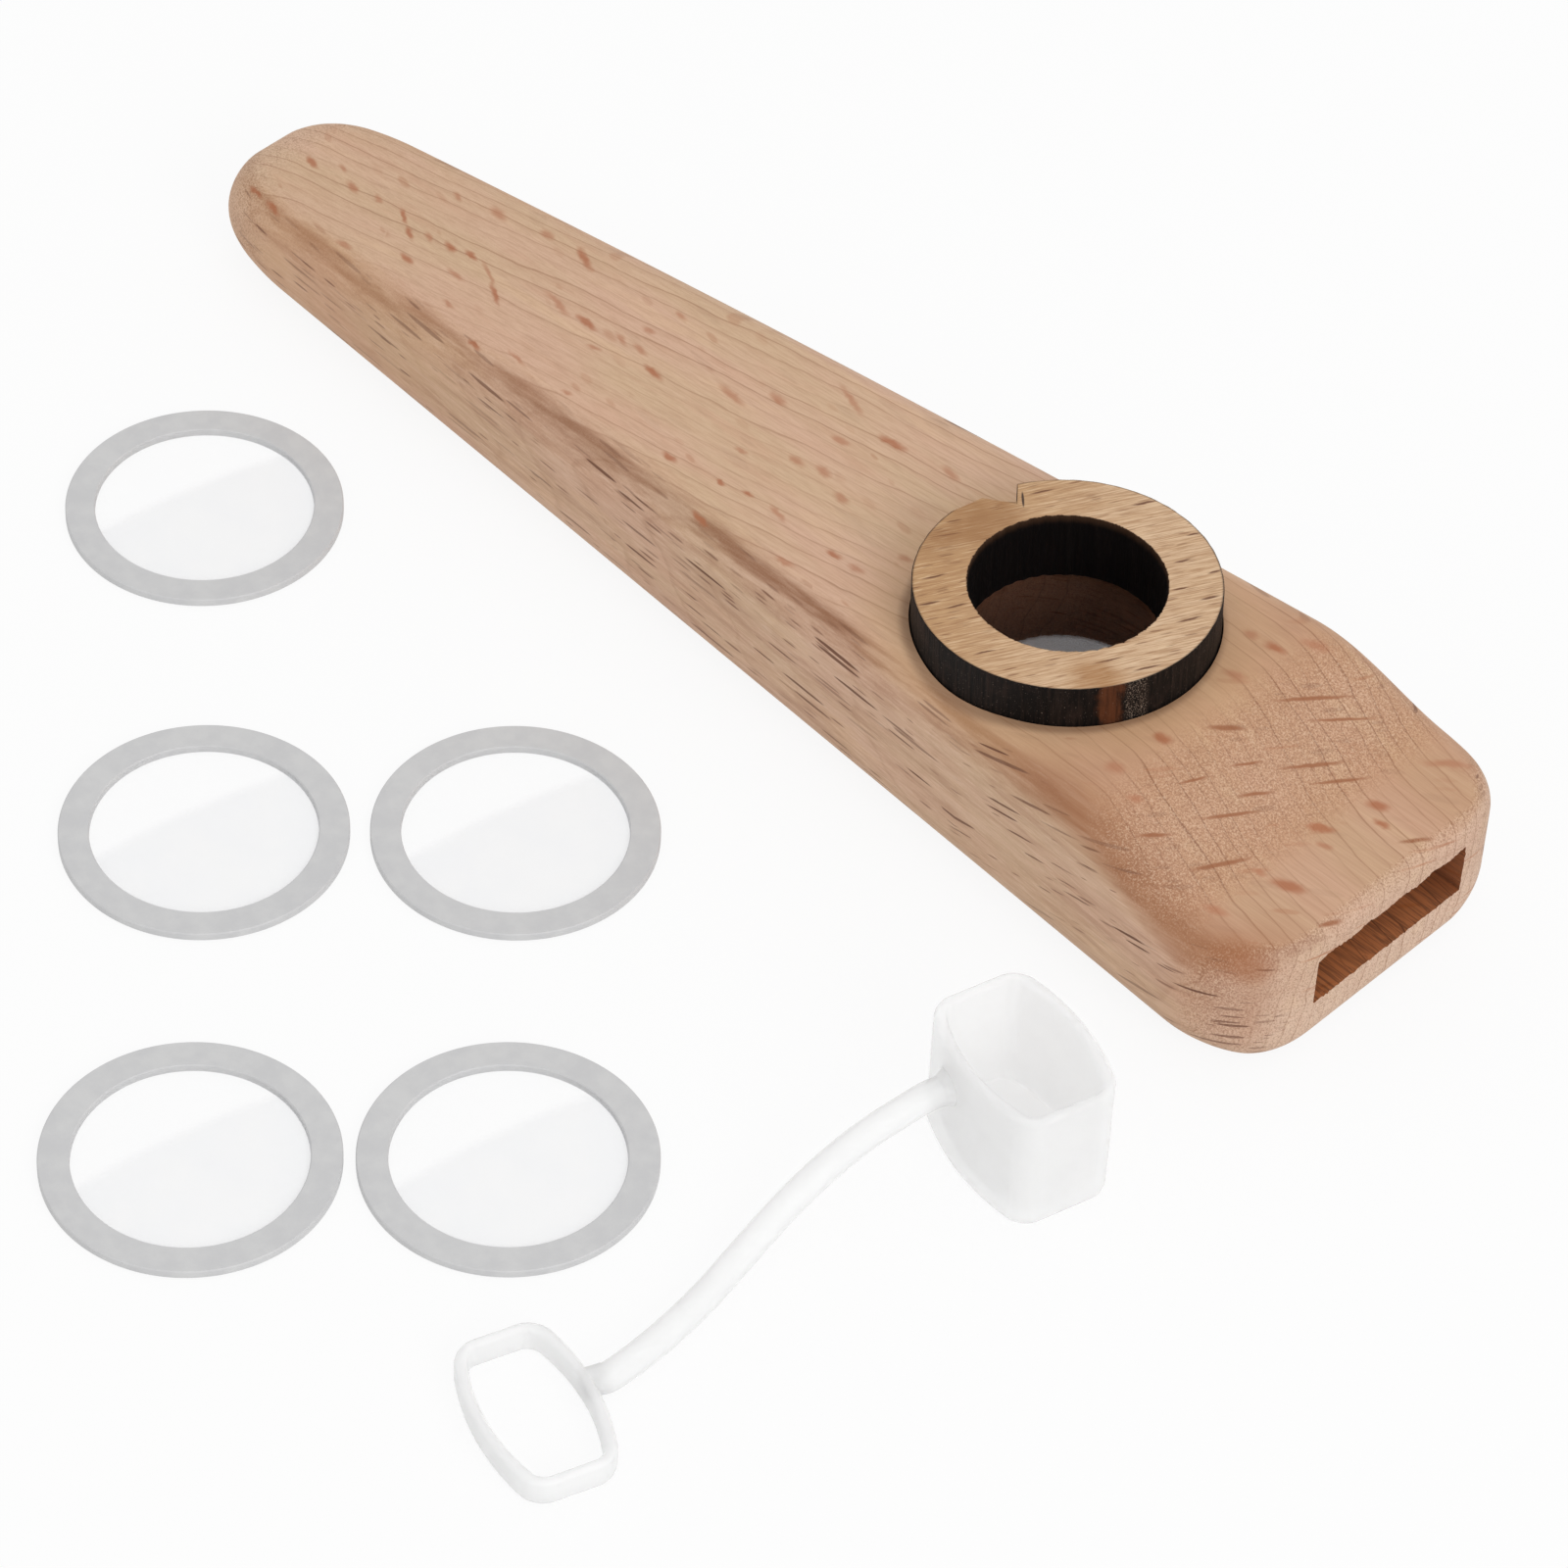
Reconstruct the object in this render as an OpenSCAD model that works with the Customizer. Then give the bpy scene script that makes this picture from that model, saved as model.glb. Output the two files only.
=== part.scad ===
/* [Body] */
// Length from the mouth face to the rounded tip
body_length = 119.2; // [107:0.1:131]
// Distance from the ring's axis to the mouth face
mouth_reach = 31.95; // [29:0.05:35]
// Width across the mouth
mouth_width = 32.65; // [30:0.05:38]
// Width that the sides taper to at the tip
tip_width = 14.9; // [13:0.1:18]
// Thickness of the body where the mouth scoop starts
thick_height = 15.6; // [15:0.05:20]
// Thickness that the body tapers to at the tip
tip_height = 8.9; // [8.4:0.1:13]
// How far the top face bulges over its straight taper, halfway along it
top_crown = 0.85; // [0:0.05:1.2]
// Thickness of the lip over the mouth slot
lip_height = 11.9; // [11.5:0.1:14.5]
// Distance from the mouth face back to the foot of the scoop
lip_length = 6; // [5:0.1:9]
// Length of the scooped slope between the top face and the lip
scoop_length = 14.4; // [10:0.1:14.6]
// Radius of the long edges of the top face
edge_radius = 3.55; // [2.5:0.05:4.2]
// Radius of the long edges of the underside
bottom_edge_radius = 4.65; // [2.5:0.05:5.2]
// Radius of the mouth's corners seen from above
mouth_corner_radius = 8.2; // [4:0.1:9]
// Length over which the tip's sides round off, seen from above
tip_corner_length = 9.2; // [5:0.1:11]
// How far the tip's sides draw in
tip_corner_depth = 3.4; // [2:0.1:4]
// Length over which the tip's top and bottom round off
tip_edge_length = 5.2; // [3:0.1:8]
// How far the tip's top and bottom draw in
tip_edge_depth = 1.65; // [1:0.05:2.4]
// Rounding of the edge over the mouth
mouth_top_radius = 1.45; // [0.8:0.05:2.4]
// Rounding of the edge under the mouth
mouth_bottom_radius = 2.85; // [1:0.05:4]
// Radius of the mouth face's own corners
mouth_face_radius = 1.8; // [0.8:0.1:2.6]

/* [Air path] */
// Width of the mouth slot
slot_width = 16.3; // [12:0.1:17]
// Height of the mouth slot
slot_height = 4.4; // [4.2:0.1:4.8]
// Height of the slot's floor over the flat underside
slot_floor = 5; // [4.6:0.1:5.4]
// Diameter of the chamber under the membrane
chamber_diameter = 17; // [15:0.1:18]
// Wood left under the chamber
chamber_floor = 2.3; // [1.8:0.1:3]
// Diameter of the hole drilled in from the tip
tip_bore_diameter = 6; // [5:0.1:6.4]

/* [Ring] */
// Outer diameter of the wooden ring
ring_diameter = 23; // [21:0.1:25]
// Diameter of the hole in the ring
ring_hole_diameter = 14.8; // [12:0.1:16]
// Thickness of the board that the ring is cut from
ring_thickness = 5.9; // [4:0.1:6.5]
// Depth that the ring sinks into the body
ring_seat_depth = 2.35; // [1.5:0.05:3]
// Running clearance round the ring, on the radius
ring_clearance = 0.05; // [0.02:0.01:0.1]

/* [Membranes] */
// Width of the ring's rim that reaches past the hoop and rests on wood
ring_ledge = 0.7; // [0.4:0.05:1.2]
// Width of the hoop's flat band
hoop_band = 2.3; // [1.5:0.1:3]
// Thickness of the hoop
hoop_thickness = 0.7; // [0.5:0.05:1.2]
// Thickness of the stretched film
film_thickness = 0.12; // [0.08:0.01:0.2]
// Depth that the film's edge sits in the hoop
film_grip = 0.4; // [0.2:0.1:0.8]
// Clearance round the hoop in its seat, on the radius
hoop_clearance = 0.1; // [0.05:0.01:0.3]
// Gap left between the hoop and the ring above it
hoop_gap = 0.03; // [0.01:0.01:0.1]

/* [Tip cap] */
// Length of the cap's outline
cap_length = 13.6; // [12:0.1:16]
// Width of the cap's outline at its short sides
cap_width = 7.4; // [6.8:0.1:9]
// How far each long side bows outward
cap_bow = 1.25; // [0.6:0.05:1.8]
// Height of the cap
cap_height = 11.2; // [9:0.1:13]
// Wall of the cap and of its loop
cap_wall = 0.8; // [0.6:0.05:1]
// Radius of the outline's corners
cap_corner_radius = 1.9; // [1.5:0.1:2.6]
// Rounding of the cap's bottom edge
cap_bottom_radius = 1.4; // [1.1:0.1:1.6]
// Length of the loop's outline
loop_length = 13.8; // [12:0.1:16]
// Width of the loop's outline at its short sides
loop_width = 6.4; // [6:0.1:8]
// Height of the loop's band
loop_height = 2.4; // [2.3:0.1:3]
// Diameter of the tether
tether_diameter = 2.2; // [1.8:0.1:2.2]
// Length of the moulded root at each end of the tether
root_length = 0.6; // [0.4:0.1:1]
// How much the cap's root is thicker than the tether
root_step = 0.25; // [0:0.05:0.4]

/* [Hidden] */

// Colours of the five materials
beech = [0.80, 0.62, 0.48];
laser_cut_ply = [0.78, 0.64, 0.44];
hoop_grey = [0.80, 0.80, 0.80];
clear_film = [0.93, 0.93, 0.93, 0.5];
white_silicone = [0.97, 0.97, 0.97];

// One overrun for every cut that runs out of a face
overrun = edge_radius;
fine = 96;
corner_steps = 10;
length_steps = 8;
scoop_steps = 12;
end_steps = 11;

// The body's main stations along its length; the ring's axis meets the underside at x = 0
tip_x = mouth_reach - body_length;
lip_x = mouth_reach - lip_length;
scoop_x = lip_x - scoop_length;
corner_x = mouth_reach - mouth_corner_radius;

// The top face slopes down to the tip, and the ring stands square on it
ring_tilt = atan(top_slope(0));
top_at_ring = top_line(0) * cos(ring_tilt);

function mix(a, b, share) = a + (b - a) * share;
function ease(share) = share * share * (3 - 2 * share);

// Inward step of an elliptic corner of a given length and depth, at a distance d from the end face
function inward(d, length, depth) =
    d >= length ? 0 : depth * (1 - sqrt(1 - ((length - d) / length) * ((length - d) / length)));

function taper_share(x) = (x - tip_x) / (scoop_x - tip_x);
function top_line(x) =
    let (share = taper_share(x))
    mix(tip_height, thick_height, share) + 4 * top_crown * share * (1 - share);
function top_slope(x) =
    (thick_height - tip_height + 4 * top_crown * (1 - 2 * taper_share(x))) / (scoop_x - tip_x);

function scooped_top(x) =
    x <= scoop_x ? top_line(x)
    : x >= lip_x ? lip_height
    : mix(mix(tip_height, thick_height, taper_share(x)), lip_height, ease((x - scoop_x) / scoop_length));

function tip_drop(x) = inward(x - tip_x, tip_edge_length, tip_edge_depth);

function top_z(x) =
    scooped_top(x) - inward(mouth_reach - x, mouth_top_radius, mouth_top_radius) - tip_drop(x);

function bottom_z(x) = inward(mouth_reach - x, mouth_bottom_radius, mouth_bottom_radius) + tip_drop(x);

function corner_drop(x) = inward(mouth_reach - x, mouth_corner_radius, mouth_corner_radius);

function half_width(x) =
    mix(tip_width, mouth_width, (x - tip_x) / body_length) / 2
    - corner_drop(x) - inward(x - tip_x, tip_corner_length, tip_corner_depth);

// The long edges keep their radius until the ends leave no room for it
largest_edge_share = 0.98;

function long_edge(x, radius) =
    let (room = min(half_width(x), (top_z(x) - bottom_z(x)) / 2))
    min(mix(radius, mouth_face_radius, corner_drop(x) / mouth_corner_radius), largest_edge_share * room);

// One cross-section of the body: four arcs, counted round from +Y towards +Z
function body_section(x) =
    let (radii = [long_edge(x, edge_radius), long_edge(x, bottom_edge_radius)])
    [for (corner = [0:3], step = [0:corner_steps])
        let (angle = 90 * (corner + step / corner_steps), r = radii[corner < 2 ? 0 : 1], y = half_width(x) - r)
        [x,
         (corner == 0 || corner == 3 ? y : -y) + r * cos(angle),
         (corner < 2 ? top_z(x) - r : bottom_z(x) + r) + r * sin(angle)]];

// The stations lie close together at the rounded ends and down the scoop
tip_end_x = tip_x + tip_corner_length;
scoop_end_x = min(lip_x, corner_x);
body_stations = concat(
    [for (step = [0:end_steps - 1]) tip_x + tip_corner_length * (1 - cos(90 * step / end_steps))],
    [for (step = [0:length_steps - 1]) mix(tip_end_x, scoop_x, step / length_steps)],
    [for (step = [0:scoop_steps - 1]) mix(scoop_x, scoop_end_x, step / scoop_steps)],
    [for (step = [0:end_steps]) mouth_reach - mouth_corner_radius * (1 - sin(90 * step / end_steps))]
);

// Faces between rings of equal length, with a flat end on the first and the last
function wall_faces(rings, size, from = 0) =
    [for (k = [from:rings - 2], j = [0:size - 1], half = [0, 1])
        let (a = k * size + j, b = k * size + (j + 1) % size)
        half == 0 ? [a, a + size, b + size] : [a, b + size, b]];

function end_faces(rings, size) =
    [[for (j = [0:size - 1]) j], [for (j = [size - 1:-1:0]) (rings - 1) * size + j]];

// Faces that join the last ring back to the first
function joining_faces(rings, size) =
    [for (j = [0:size - 1], half = [0, 1])
        let (a = (rings - 1) * size + j, b = (rings - 1) * size + (j + 1) % size, c = j, d = (j + 1) % size)
        half == 0 ? [a, c, d] : [a, d, b]];

module loft(rings) {
    size = len(rings[0]);
    polyhedron([for (ring = rings, point = ring) point],
        concat(wall_faces(len(rings), size), end_faces(len(rings), size)), convexity = 6);
}

module closed_loft(rings) {
    size = len(rings[0]);
    polyhedron([for (ring = rings, point = ring) point],
        concat(wall_faces(len(rings), size), joining_faces(len(rings), size)), convexity = 6);
}

// Places its children on the sloped top face, with their z axis along the ring's axis
module on_top_face() {
    rotate([0, -ring_tilt, 0]) translate([0, 0, top_at_ring]) children();
}

// The membrane's hoop fits under the ring, and so takes its size from the ring
hoop_diameter = ring_diameter - 2 * ring_ledge;
hoop_hole = hoop_diameter - 2 * hoop_band;
hoop_seat_depth = ring_seat_depth + hoop_gap + hoop_thickness;

module mouth_slot() {
    translate([0, -slot_width / 2, slot_floor])
        cube([mouth_reach + overrun, slot_width, slot_height]);
}

module tip_bore() {
    translate([tip_x - overrun, 0, tip_height / 2]) rotate([0, 90, 0])
        cylinder(d = tip_bore_diameter, h = -tip_x + overrun - chamber_diameter / 4, $fn = fine);
}

module membrane_well() {
    translate([0, 0, -ring_seat_depth])
        cylinder(r = ring_diameter / 2 + ring_clearance, h = ring_seat_depth + overrun, $fn = fine);
    translate([0, 0, -hoop_seat_depth])
        cylinder(r = hoop_diameter / 2 + hoop_clearance, h = hoop_seat_depth, $fn = fine);
    translate([0, 0, chamber_floor - top_at_ring])
        cylinder(d = chamber_diameter, h = top_at_ring - chamber_floor, $fn = fine);
}

module body() {
    color(beech) difference() {
        loft([for (x = body_stations) body_section(x)]);
        mouth_slot();
        tip_bore();
        on_top_face() membrane_well();
    }
}

// A chip broken out of the ring's rim beside the cut's starting nick, as shares of the ring's radius
chip_shares = [[-0.87, 0.47], [-0.74, 0.33], [-0.94, 0.22], [-1.02, -0.02], [-1.2, 0.25], [-1.1, 0.6]];

module membrane_ring() {
    color(laser_cut_ply) on_top_face() translate([0, 0, -ring_seat_depth]) difference() {
        cylinder(d = ring_diameter, h = ring_thickness, $fn = fine);
        translate([0, 0, -overrun])
            cylinder(d = ring_hole_diameter, h = ring_thickness + 2 * overrun, $fn = fine);
        translate([0, 0, -overrun]) linear_extrude(ring_thickness + 2 * overrun)
            polygon([for (share = chip_shares) share * ring_diameter / 2]);
    }
}

film_diameter = hoop_hole + 2 * film_grip;
film_height = (hoop_thickness - film_thickness) / 2;

// A hoop with a groove at mid height, where the film's edge is held
module hoop() {
    color(hoop_grey) difference() {
        cylinder(d = hoop_diameter, h = hoop_thickness, $fn = fine);
        translate([0, 0, -overrun])
            cylinder(d = hoop_hole, h = hoop_thickness + 2 * overrun, $fn = fine);
        translate([0, 0, film_height]) cylinder(d = film_diameter, h = film_thickness, $fn = fine);
    }
}

module film() {
    color(clear_film) translate([0, 0, film_height])
        cylinder(d = film_diameter, h = film_thickness, $fn = fine);
}

// The fitted membrane lies in its own seat under the ring
module in_membrane_seat() {
    on_top_face() translate([0, 0, -hoop_seat_depth]) children();
}

// Places of the spare membranes, as shares of a hoop's diameter
spare_place_shares = [[-3.01, -1.28], [-1.81, -2.37], [-1.07, -1.6], [-0.74, -3.4], [-0.02, -2.65]];

module at_spare(index) {
    place = spare_place_shares[index - 1] * hoop_diameter;
    translate([place[0], place[1], 0]) children();
}

side_steps = 8;
cap_corner_steps = 7;

// Outline of the silicone pieces: a rounded box whose long sides bow outward
function bowed_corner(corner, a, b, r) =
    [for (step = [0:cap_corner_steps])
        let (angle = 90 * (corner + step / cap_corner_steps))
        [(corner == 0 || corner == 3 ? a - r : r - a) + r * cos(angle),
         (corner < 2 ? b - r : r - b) + r * sin(angle)]];

function long_side(a, b, r, way) =
    [for (step = [1:side_steps - 1]) [way * (a - r) * (1 - 2 * step / side_steps), way * b]];

function bowed_outline(length, width, inset, z) =
    let (a = length / 2 - inset, b = width / 2 - inset, r = max(cap_corner_radius - inset, cap_wall / 2),
         plain = concat(bowed_corner(0, a, b, r), long_side(a, b, r, 1), bowed_corner(1, a, b, r),
                        bowed_corner(2, a, b, r), long_side(a, b, r, -1), bowed_corner(3, a, b, r)))
    [for (p = plain) [p[0], p[1] * (1 + cap_bow / b * (1 - p[0] * p[0] / (a * a))), z]];

// How far the outline's long side stands from its middle line, at x
function bowed_reach(length, width, x) = width / 2 + cap_bow * (1 - 4 * x * x / (length * length));

rim = cap_wall / 2;
rim_steps = 4;
cavity_radius = cap_bottom_radius - cap_wall;
bottom_steps = 4;

// The cap's wall followed from its bottom face, over the rim and down to the cavity's floor
cap_profile = concat(
    [for (step = [0:bottom_steps]) let (angle = 90 * step / bottom_steps)
        [cap_bottom_radius * (1 - sin(angle)), cap_bottom_radius * (1 - cos(angle))]],
    [for (step = [0:rim_steps]) let (angle = 180 * step / rim_steps)
        [rim * (1 - cos(angle)), cap_height - rim + rim * sin(angle)]],
    [for (step = [0:bottom_steps]) let (angle = 90 * step / bottom_steps)
        [cap_wall + cavity_radius * (1 - cos(angle)), cap_wall + cavity_radius * (1 - sin(angle))]]
);

// The loop's band followed round its rounded edges
loop_profile = [for (end = [1, 0], step = [0:rim_steps]) let (angle = 180 * step / rim_steps)
    [rim * (1 + (end == 1 ? -cos(angle) : cos(angle))),
     end == 1 ? loop_height - rim + rim * sin(angle) : rim - rim * sin(angle)]];

// Places and headings of the cap and of its loop, as shares of a hoop's diameter and as angles
cap_place_share = [1.108, -1.419];
loop_place_share = [0.828, -3.351];
cap_heading = -15.5;
loop_heading = -19.8;

module at_cap() {
    translate([cap_place_share[0], cap_place_share[1], 0] * hoop_diameter) rotate([0, 0, cap_heading]) children();
}

module at_loop() {
    translate([loop_place_share[0], loop_place_share[1], 0] * hoop_diameter) rotate([0, 0, loop_heading]) children();
}

// Where the tether leaves the cap's long side and the loop's, as shares of their lengths and height
cap_root_along_share = -0.15;
cap_root_up_share = 0.66;
loop_root_along_share = -0.06;

// The tether's two roots: along the side, outward and up
cap_root_x = cap_root_along_share * cap_length;
cap_root_y = -bowed_reach(cap_length, cap_width, cap_root_x);
cap_root_z = cap_root_up_share * cap_height;
loop_root_x = loop_root_along_share * loop_length;
loop_root_y = bowed_reach(loop_length, loop_width, loop_root_x);
loop_root_z = loop_height / 2;

module tip_cap() {
    color(white_silicone) at_cap() {
        loft([for (p = cap_profile) bowed_outline(cap_length, cap_width, p[0], p[1])]);
        translate([cap_root_x, cap_root_y + cap_wall / 2, cap_root_z]) rotate([90, 0, 0])
            cylinder(r = tether_diameter / 2 + root_step, h = root_length + cap_wall / 2, $fn = fine);
    }
}

module cap_loop() {
    color(white_silicone) at_loop() {
        closed_loft([for (p = loop_profile) bowed_outline(loop_length, loop_width, p[0], p[1])]);
        translate([loop_root_x, loop_root_y - cap_wall / 2, loop_root_z]) rotate([-90, 0, 0])
            cylinder(d = tether_diameter, h = root_length + cap_wall / 2, $fn = fine);
    }
}

// A point given in the frame of the cap or of the loop, seen in the part's frame
function placed(share, heading, x, y, z) =
    [share[0] * hoop_diameter + x * cos(heading) - y * sin(heading),
     share[1] * hoop_diameter + x * sin(heading) + y * cos(heading), z];

// The tether's own route between its two straight ends
tether_points = [
    [19.65, -38, 6.8], [18.75, -41.2, 5.7], [18.05, -44.6, 4.2], [17.75, -48.2, 2.7],
    [17.95, -52, 1.6], [18.55, -56, 1.2], [19.05, -59.8, 1.2], [19.25, -63.2, 1.2]
];
cap_out = [sin(cap_heading), -cos(cap_heading), 0];
loop_out = [-sin(loop_heading), cos(loop_heading), 0];
tether_from = placed(cap_place_share, cap_heading, cap_root_x, cap_root_y - root_length, cap_root_z);
tether_to = placed(loop_place_share, loop_heading, loop_root_x, loop_root_y + root_length, loop_root_z);
tether_route = concat(
    [tether_from, tether_from + cap_out * tether_diameter / 2],
    tether_points,
    [tether_to + loop_out * tether_diameter / 2, tether_to]
);
tether_sides = 8;

function unit(v) = v / norm(v);

function route_heading(k) =
    k == 0 ? cap_out
    : k == len(tether_route) - 1 ? -loop_out
    : unit(tether_route[k + 1] - tether_route[k - 1]);

function tether_ring(k) =
    let (along = route_heading(k), side = unit(cross([0, 0, 1], along)), up = cross(along, side))
    [for (step = [0:tether_sides - 1]) let (angle = 360 * step / tether_sides)
        tether_route[k] + tether_diameter / 2 * (cos(angle) * side + sin(angle) * up)];

module cap_tether() {
    color(white_silicone) loft([for (k = [0:len(tether_route) - 1]) tether_ring(k)]);
}

body();
membrane_ring();
in_membrane_seat() hoop();  // fitted_hoop
in_membrane_seat() film();  // fitted_film
for (index = [1:len(spare_place_shares)]) {
    at_spare(index) hoop();
    at_spare(index) film();
}
tip_cap();
cap_tether();
cap_loop();
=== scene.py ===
import math

import bpy
import numpy as np
from mathutils import Matrix, Vector


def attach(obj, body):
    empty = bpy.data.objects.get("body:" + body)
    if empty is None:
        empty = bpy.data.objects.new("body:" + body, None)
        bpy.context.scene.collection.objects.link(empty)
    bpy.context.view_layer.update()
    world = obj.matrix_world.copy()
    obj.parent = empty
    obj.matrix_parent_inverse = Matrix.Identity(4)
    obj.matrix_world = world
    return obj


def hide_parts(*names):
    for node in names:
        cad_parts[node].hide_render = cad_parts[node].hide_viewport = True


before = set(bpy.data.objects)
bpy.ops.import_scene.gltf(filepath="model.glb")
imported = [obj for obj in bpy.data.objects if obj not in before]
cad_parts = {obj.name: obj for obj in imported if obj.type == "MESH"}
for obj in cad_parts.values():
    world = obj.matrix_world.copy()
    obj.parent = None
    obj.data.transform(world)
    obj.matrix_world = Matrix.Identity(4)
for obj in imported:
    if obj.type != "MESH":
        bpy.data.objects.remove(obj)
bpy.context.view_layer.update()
MM = 0.001

# The part's own sizes, in millimetres
MOUTH_REACH, BODY_LENGTH = 31.95, 119.2
MOUTH_WIDTH, TIP_WIDTH = 32.65, 14.9
THICK_HEIGHT, TIP_HEIGHT, LIP_HEIGHT, TOP_CROWN = 15.6, 8.9, 11.9, 0.85
LIP_LENGTH, SCOOP_LENGTH = 6.0, 14.4
EDGE_RADIUS, BOTTOM_EDGE_RADIUS, MOUTH_FACE_RADIUS = 3.55, 4.65, 1.8
MOUTH_CORNER, MOUTH_TOP, MOUTH_BOTTOM = 8.2, 1.45, 2.85
TIP_CORNER_LENGTH, TIP_CORNER_DEPTH, TIP_EDGE_LENGTH, TIP_EDGE_DEPTH = 9.2, 3.4, 5.2, 1.65
SLOT_WIDTH, SLOT_HEIGHT, SLOT_FLOOR = 16.3, 4.4, 5.0
CHAMBER_RADIUS, CHAMBER_FLOOR, BORE_RADIUS = 8.5, 2.3, 3.0
RING_RADIUS, RING_HOLE, RING_THICK, RING_SEAT = 11.5, 7.4, 5.9, 2.35
HOOP_RADIUS, HOOP_BAND, HOOP_THICK, FILM_THICK, FILM_GRIP = 10.8, 2.3, 0.7, 0.12, 0.4
HOOP_GAP, HOOP_CLEARANCE, RING_CLEARANCE = 0.03, 0.1, 0.13
SPARES = [(-65.016, -27.648), (-39.096, -51.192), (-23.112, -34.56), (-15.984, -73.44), (-0.432, -57.24)]
CAP_PLACE, CAP_HEADING = (23.9328, -30.6504), -15.5
LOOP_PLACE, LOOP_HEADING = (17.8848, -72.3816), -19.8
CAP_LENGTH, CAP_WIDTH, CAP_BOW, CAP_HEIGHT, CAP_WALL = 13.6, 7.4, 1.25, 11.2, 0.8
CAP_CORNER, CAP_BOTTOM = 1.5, 1.0
LOOP_LENGTH, LOOP_WIDTH, LOOP_HEIGHT = 13.8, 6.4, 2.4
TETHER_RADIUS, ROOT_LENGTH = 1.1, 0.6

TIP_X = MOUTH_REACH - BODY_LENGTH
LIP_X = MOUTH_REACH - LIP_LENGTH
SCOOP_X = LIP_X - SCOOP_LENGTH


def mix(a, b, share):
    return a + (b - a) * share


def taper_share(x):
    return (x - TIP_X) / (SCOOP_X - TIP_X)


def top_line(x):
    share = taper_share(x)
    return mix(TIP_HEIGHT, THICK_HEIGHT, share) + 4 * TOP_CROWN * share * (1 - share)


TOP_RISE = THICK_HEIGHT - TIP_HEIGHT + 4 * TOP_CROWN * (1 - 2 * taper_share(0))
RING_TILT = math.atan(TOP_RISE / (SCOOP_X - TIP_X))
TOP_AT_RING = top_line(0) * math.cos(RING_TILT)
HOOP_SEAT = RING_SEAT + HOOP_GAP + HOOP_THICK

# Camera, at the photograph's viewpoint
camera_data = bpy.data.cameras.new("camera")
camera_data.sensor_fit = "HORIZONTAL"
camera_data.sensor_width = 36.0
camera_data.lens = 149.91
camera_data.clip_start, camera_data.clip_end = 0.01, 10.0
camera = bpy.data.objects.new("camera", camera_data)
bpy.context.scene.collection.objects.link(camera)
EYE = Vector((216.84, -270.44, 350.25)) * MM
LOOK = Vector((-0.4691, 0.5186, -0.7148)).normalized()
RIGHT = Vector((0.7155, 0.6977, 0.0367))
RIGHT = (RIGHT - LOOK * RIGHT.dot(LOOK)).normalized()
UP = RIGHT.cross(LOOK)
camera.matrix_world = Matrix((
    (RIGHT.x, UP.x, -LOOK.x, EYE.x),
    (RIGHT.y, UP.y, -LOOK.y, EYE.y),
    (RIGHT.z, UP.z, -LOOK.z, EYE.z),
    (0, 0, 0, 1),
))
bpy.context.scene.camera = camera


# Mesh helpers
def shade(mesh, sharp):
    mesh.polygons.foreach_set("use_smooth", [True] * len(mesh.polygons))
    mesh.set_sharp_from_angle(angle=math.radians(sharp))


def circle(steps):
    return np.linspace(0, 2 * math.pi, steps, False)


def new_mesh(name, points, faces, sharp=35):
    """A smooth piece from points in millimetres, its edges sharp from this angle on."""
    mesh = bpy.data.meshes.new(name)
    mesh.from_pydata([tuple(float(c) * MM for c in p) for p in points], [], faces)
    mesh.validate()
    obj = bpy.data.objects.new(name, mesh)
    bpy.context.scene.collection.objects.link(obj)
    shade(mesh, sharp)
    return obj


def loft_faces(rings, size, closed=False):
    """Walls between rings that run counter-clockwise, seen from where they lead, and flat ends."""
    faces = []
    for k in range(rings if closed else rings - 1):
        a, b = k * size, ((k + 1) % rings) * size
        faces += [(a + j, a + (j + 1) % size, b + (j + 1) % size, b + j) for j in range(size)]
    if not closed:
        faces += [tuple(reversed(range(size))), tuple(range((rings - 1) * size, rings * size))]
    return faces


def loft(name, rings, closed=False, sharp=35):
    """A solid between rings of the same number of points."""
    points = np.concatenate([np.asarray(r, float) for r in rings])
    return new_mesh(name, points, loft_faces(len(rings), len(rings[0]), closed), sharp)


def spin(name, profile, steps, sharp, radius_at=None):
    """A closed (radius, z) profile turned round Z, with its radii changed by radius_at if that is given."""
    points = []
    for k in range(steps):
        angle = 2 * math.pi * k / steps
        for r, z in profile:
            reach = radius_at(r, z, angle) if radius_at else r
            points.append((reach * math.cos(angle), reach * math.sin(angle), z))
    faces = [tuple(reversed(face)) for face in loft_faces(steps, len(profile), True)]
    return new_mesh(name, points, faces, sharp)


def on_top_face(obj, sunk=0.0):
    """Stands a piece on the sloped top face or sinks it in, its Z along the ring's axis."""
    height = (TOP_AT_RING - sunk) * MM
    obj.matrix_world = Matrix.Rotation(-RING_TILT, 4, "Y") @ Matrix.Translation((0, 0, height))
    return obj


def wave(seed, count, low, high):
    """A seeded sum of sines of an angle, with low to high turns each, mostly between -1 and 1."""
    rng = np.random.default_rng(seed)
    turns = rng.integers(low, high, count)
    phases = rng.uniform(0, 2 * math.pi, count)
    return lambda angle: float(sum(math.sin(n * angle + p) for n, p in zip(turns, phases)) / count ** 0.5)


# Node helpers
def srgb(r, g, b):
    """A colour as it is seen, from 0 to 255, as linear light."""
    seen = [c / 255 for c in (r, g, b)]
    return (*[c / 12.92 if c <= 0.04045 else ((c + 0.055) / 1.055) ** 2.4 for c in seen], 1.0)


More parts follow.
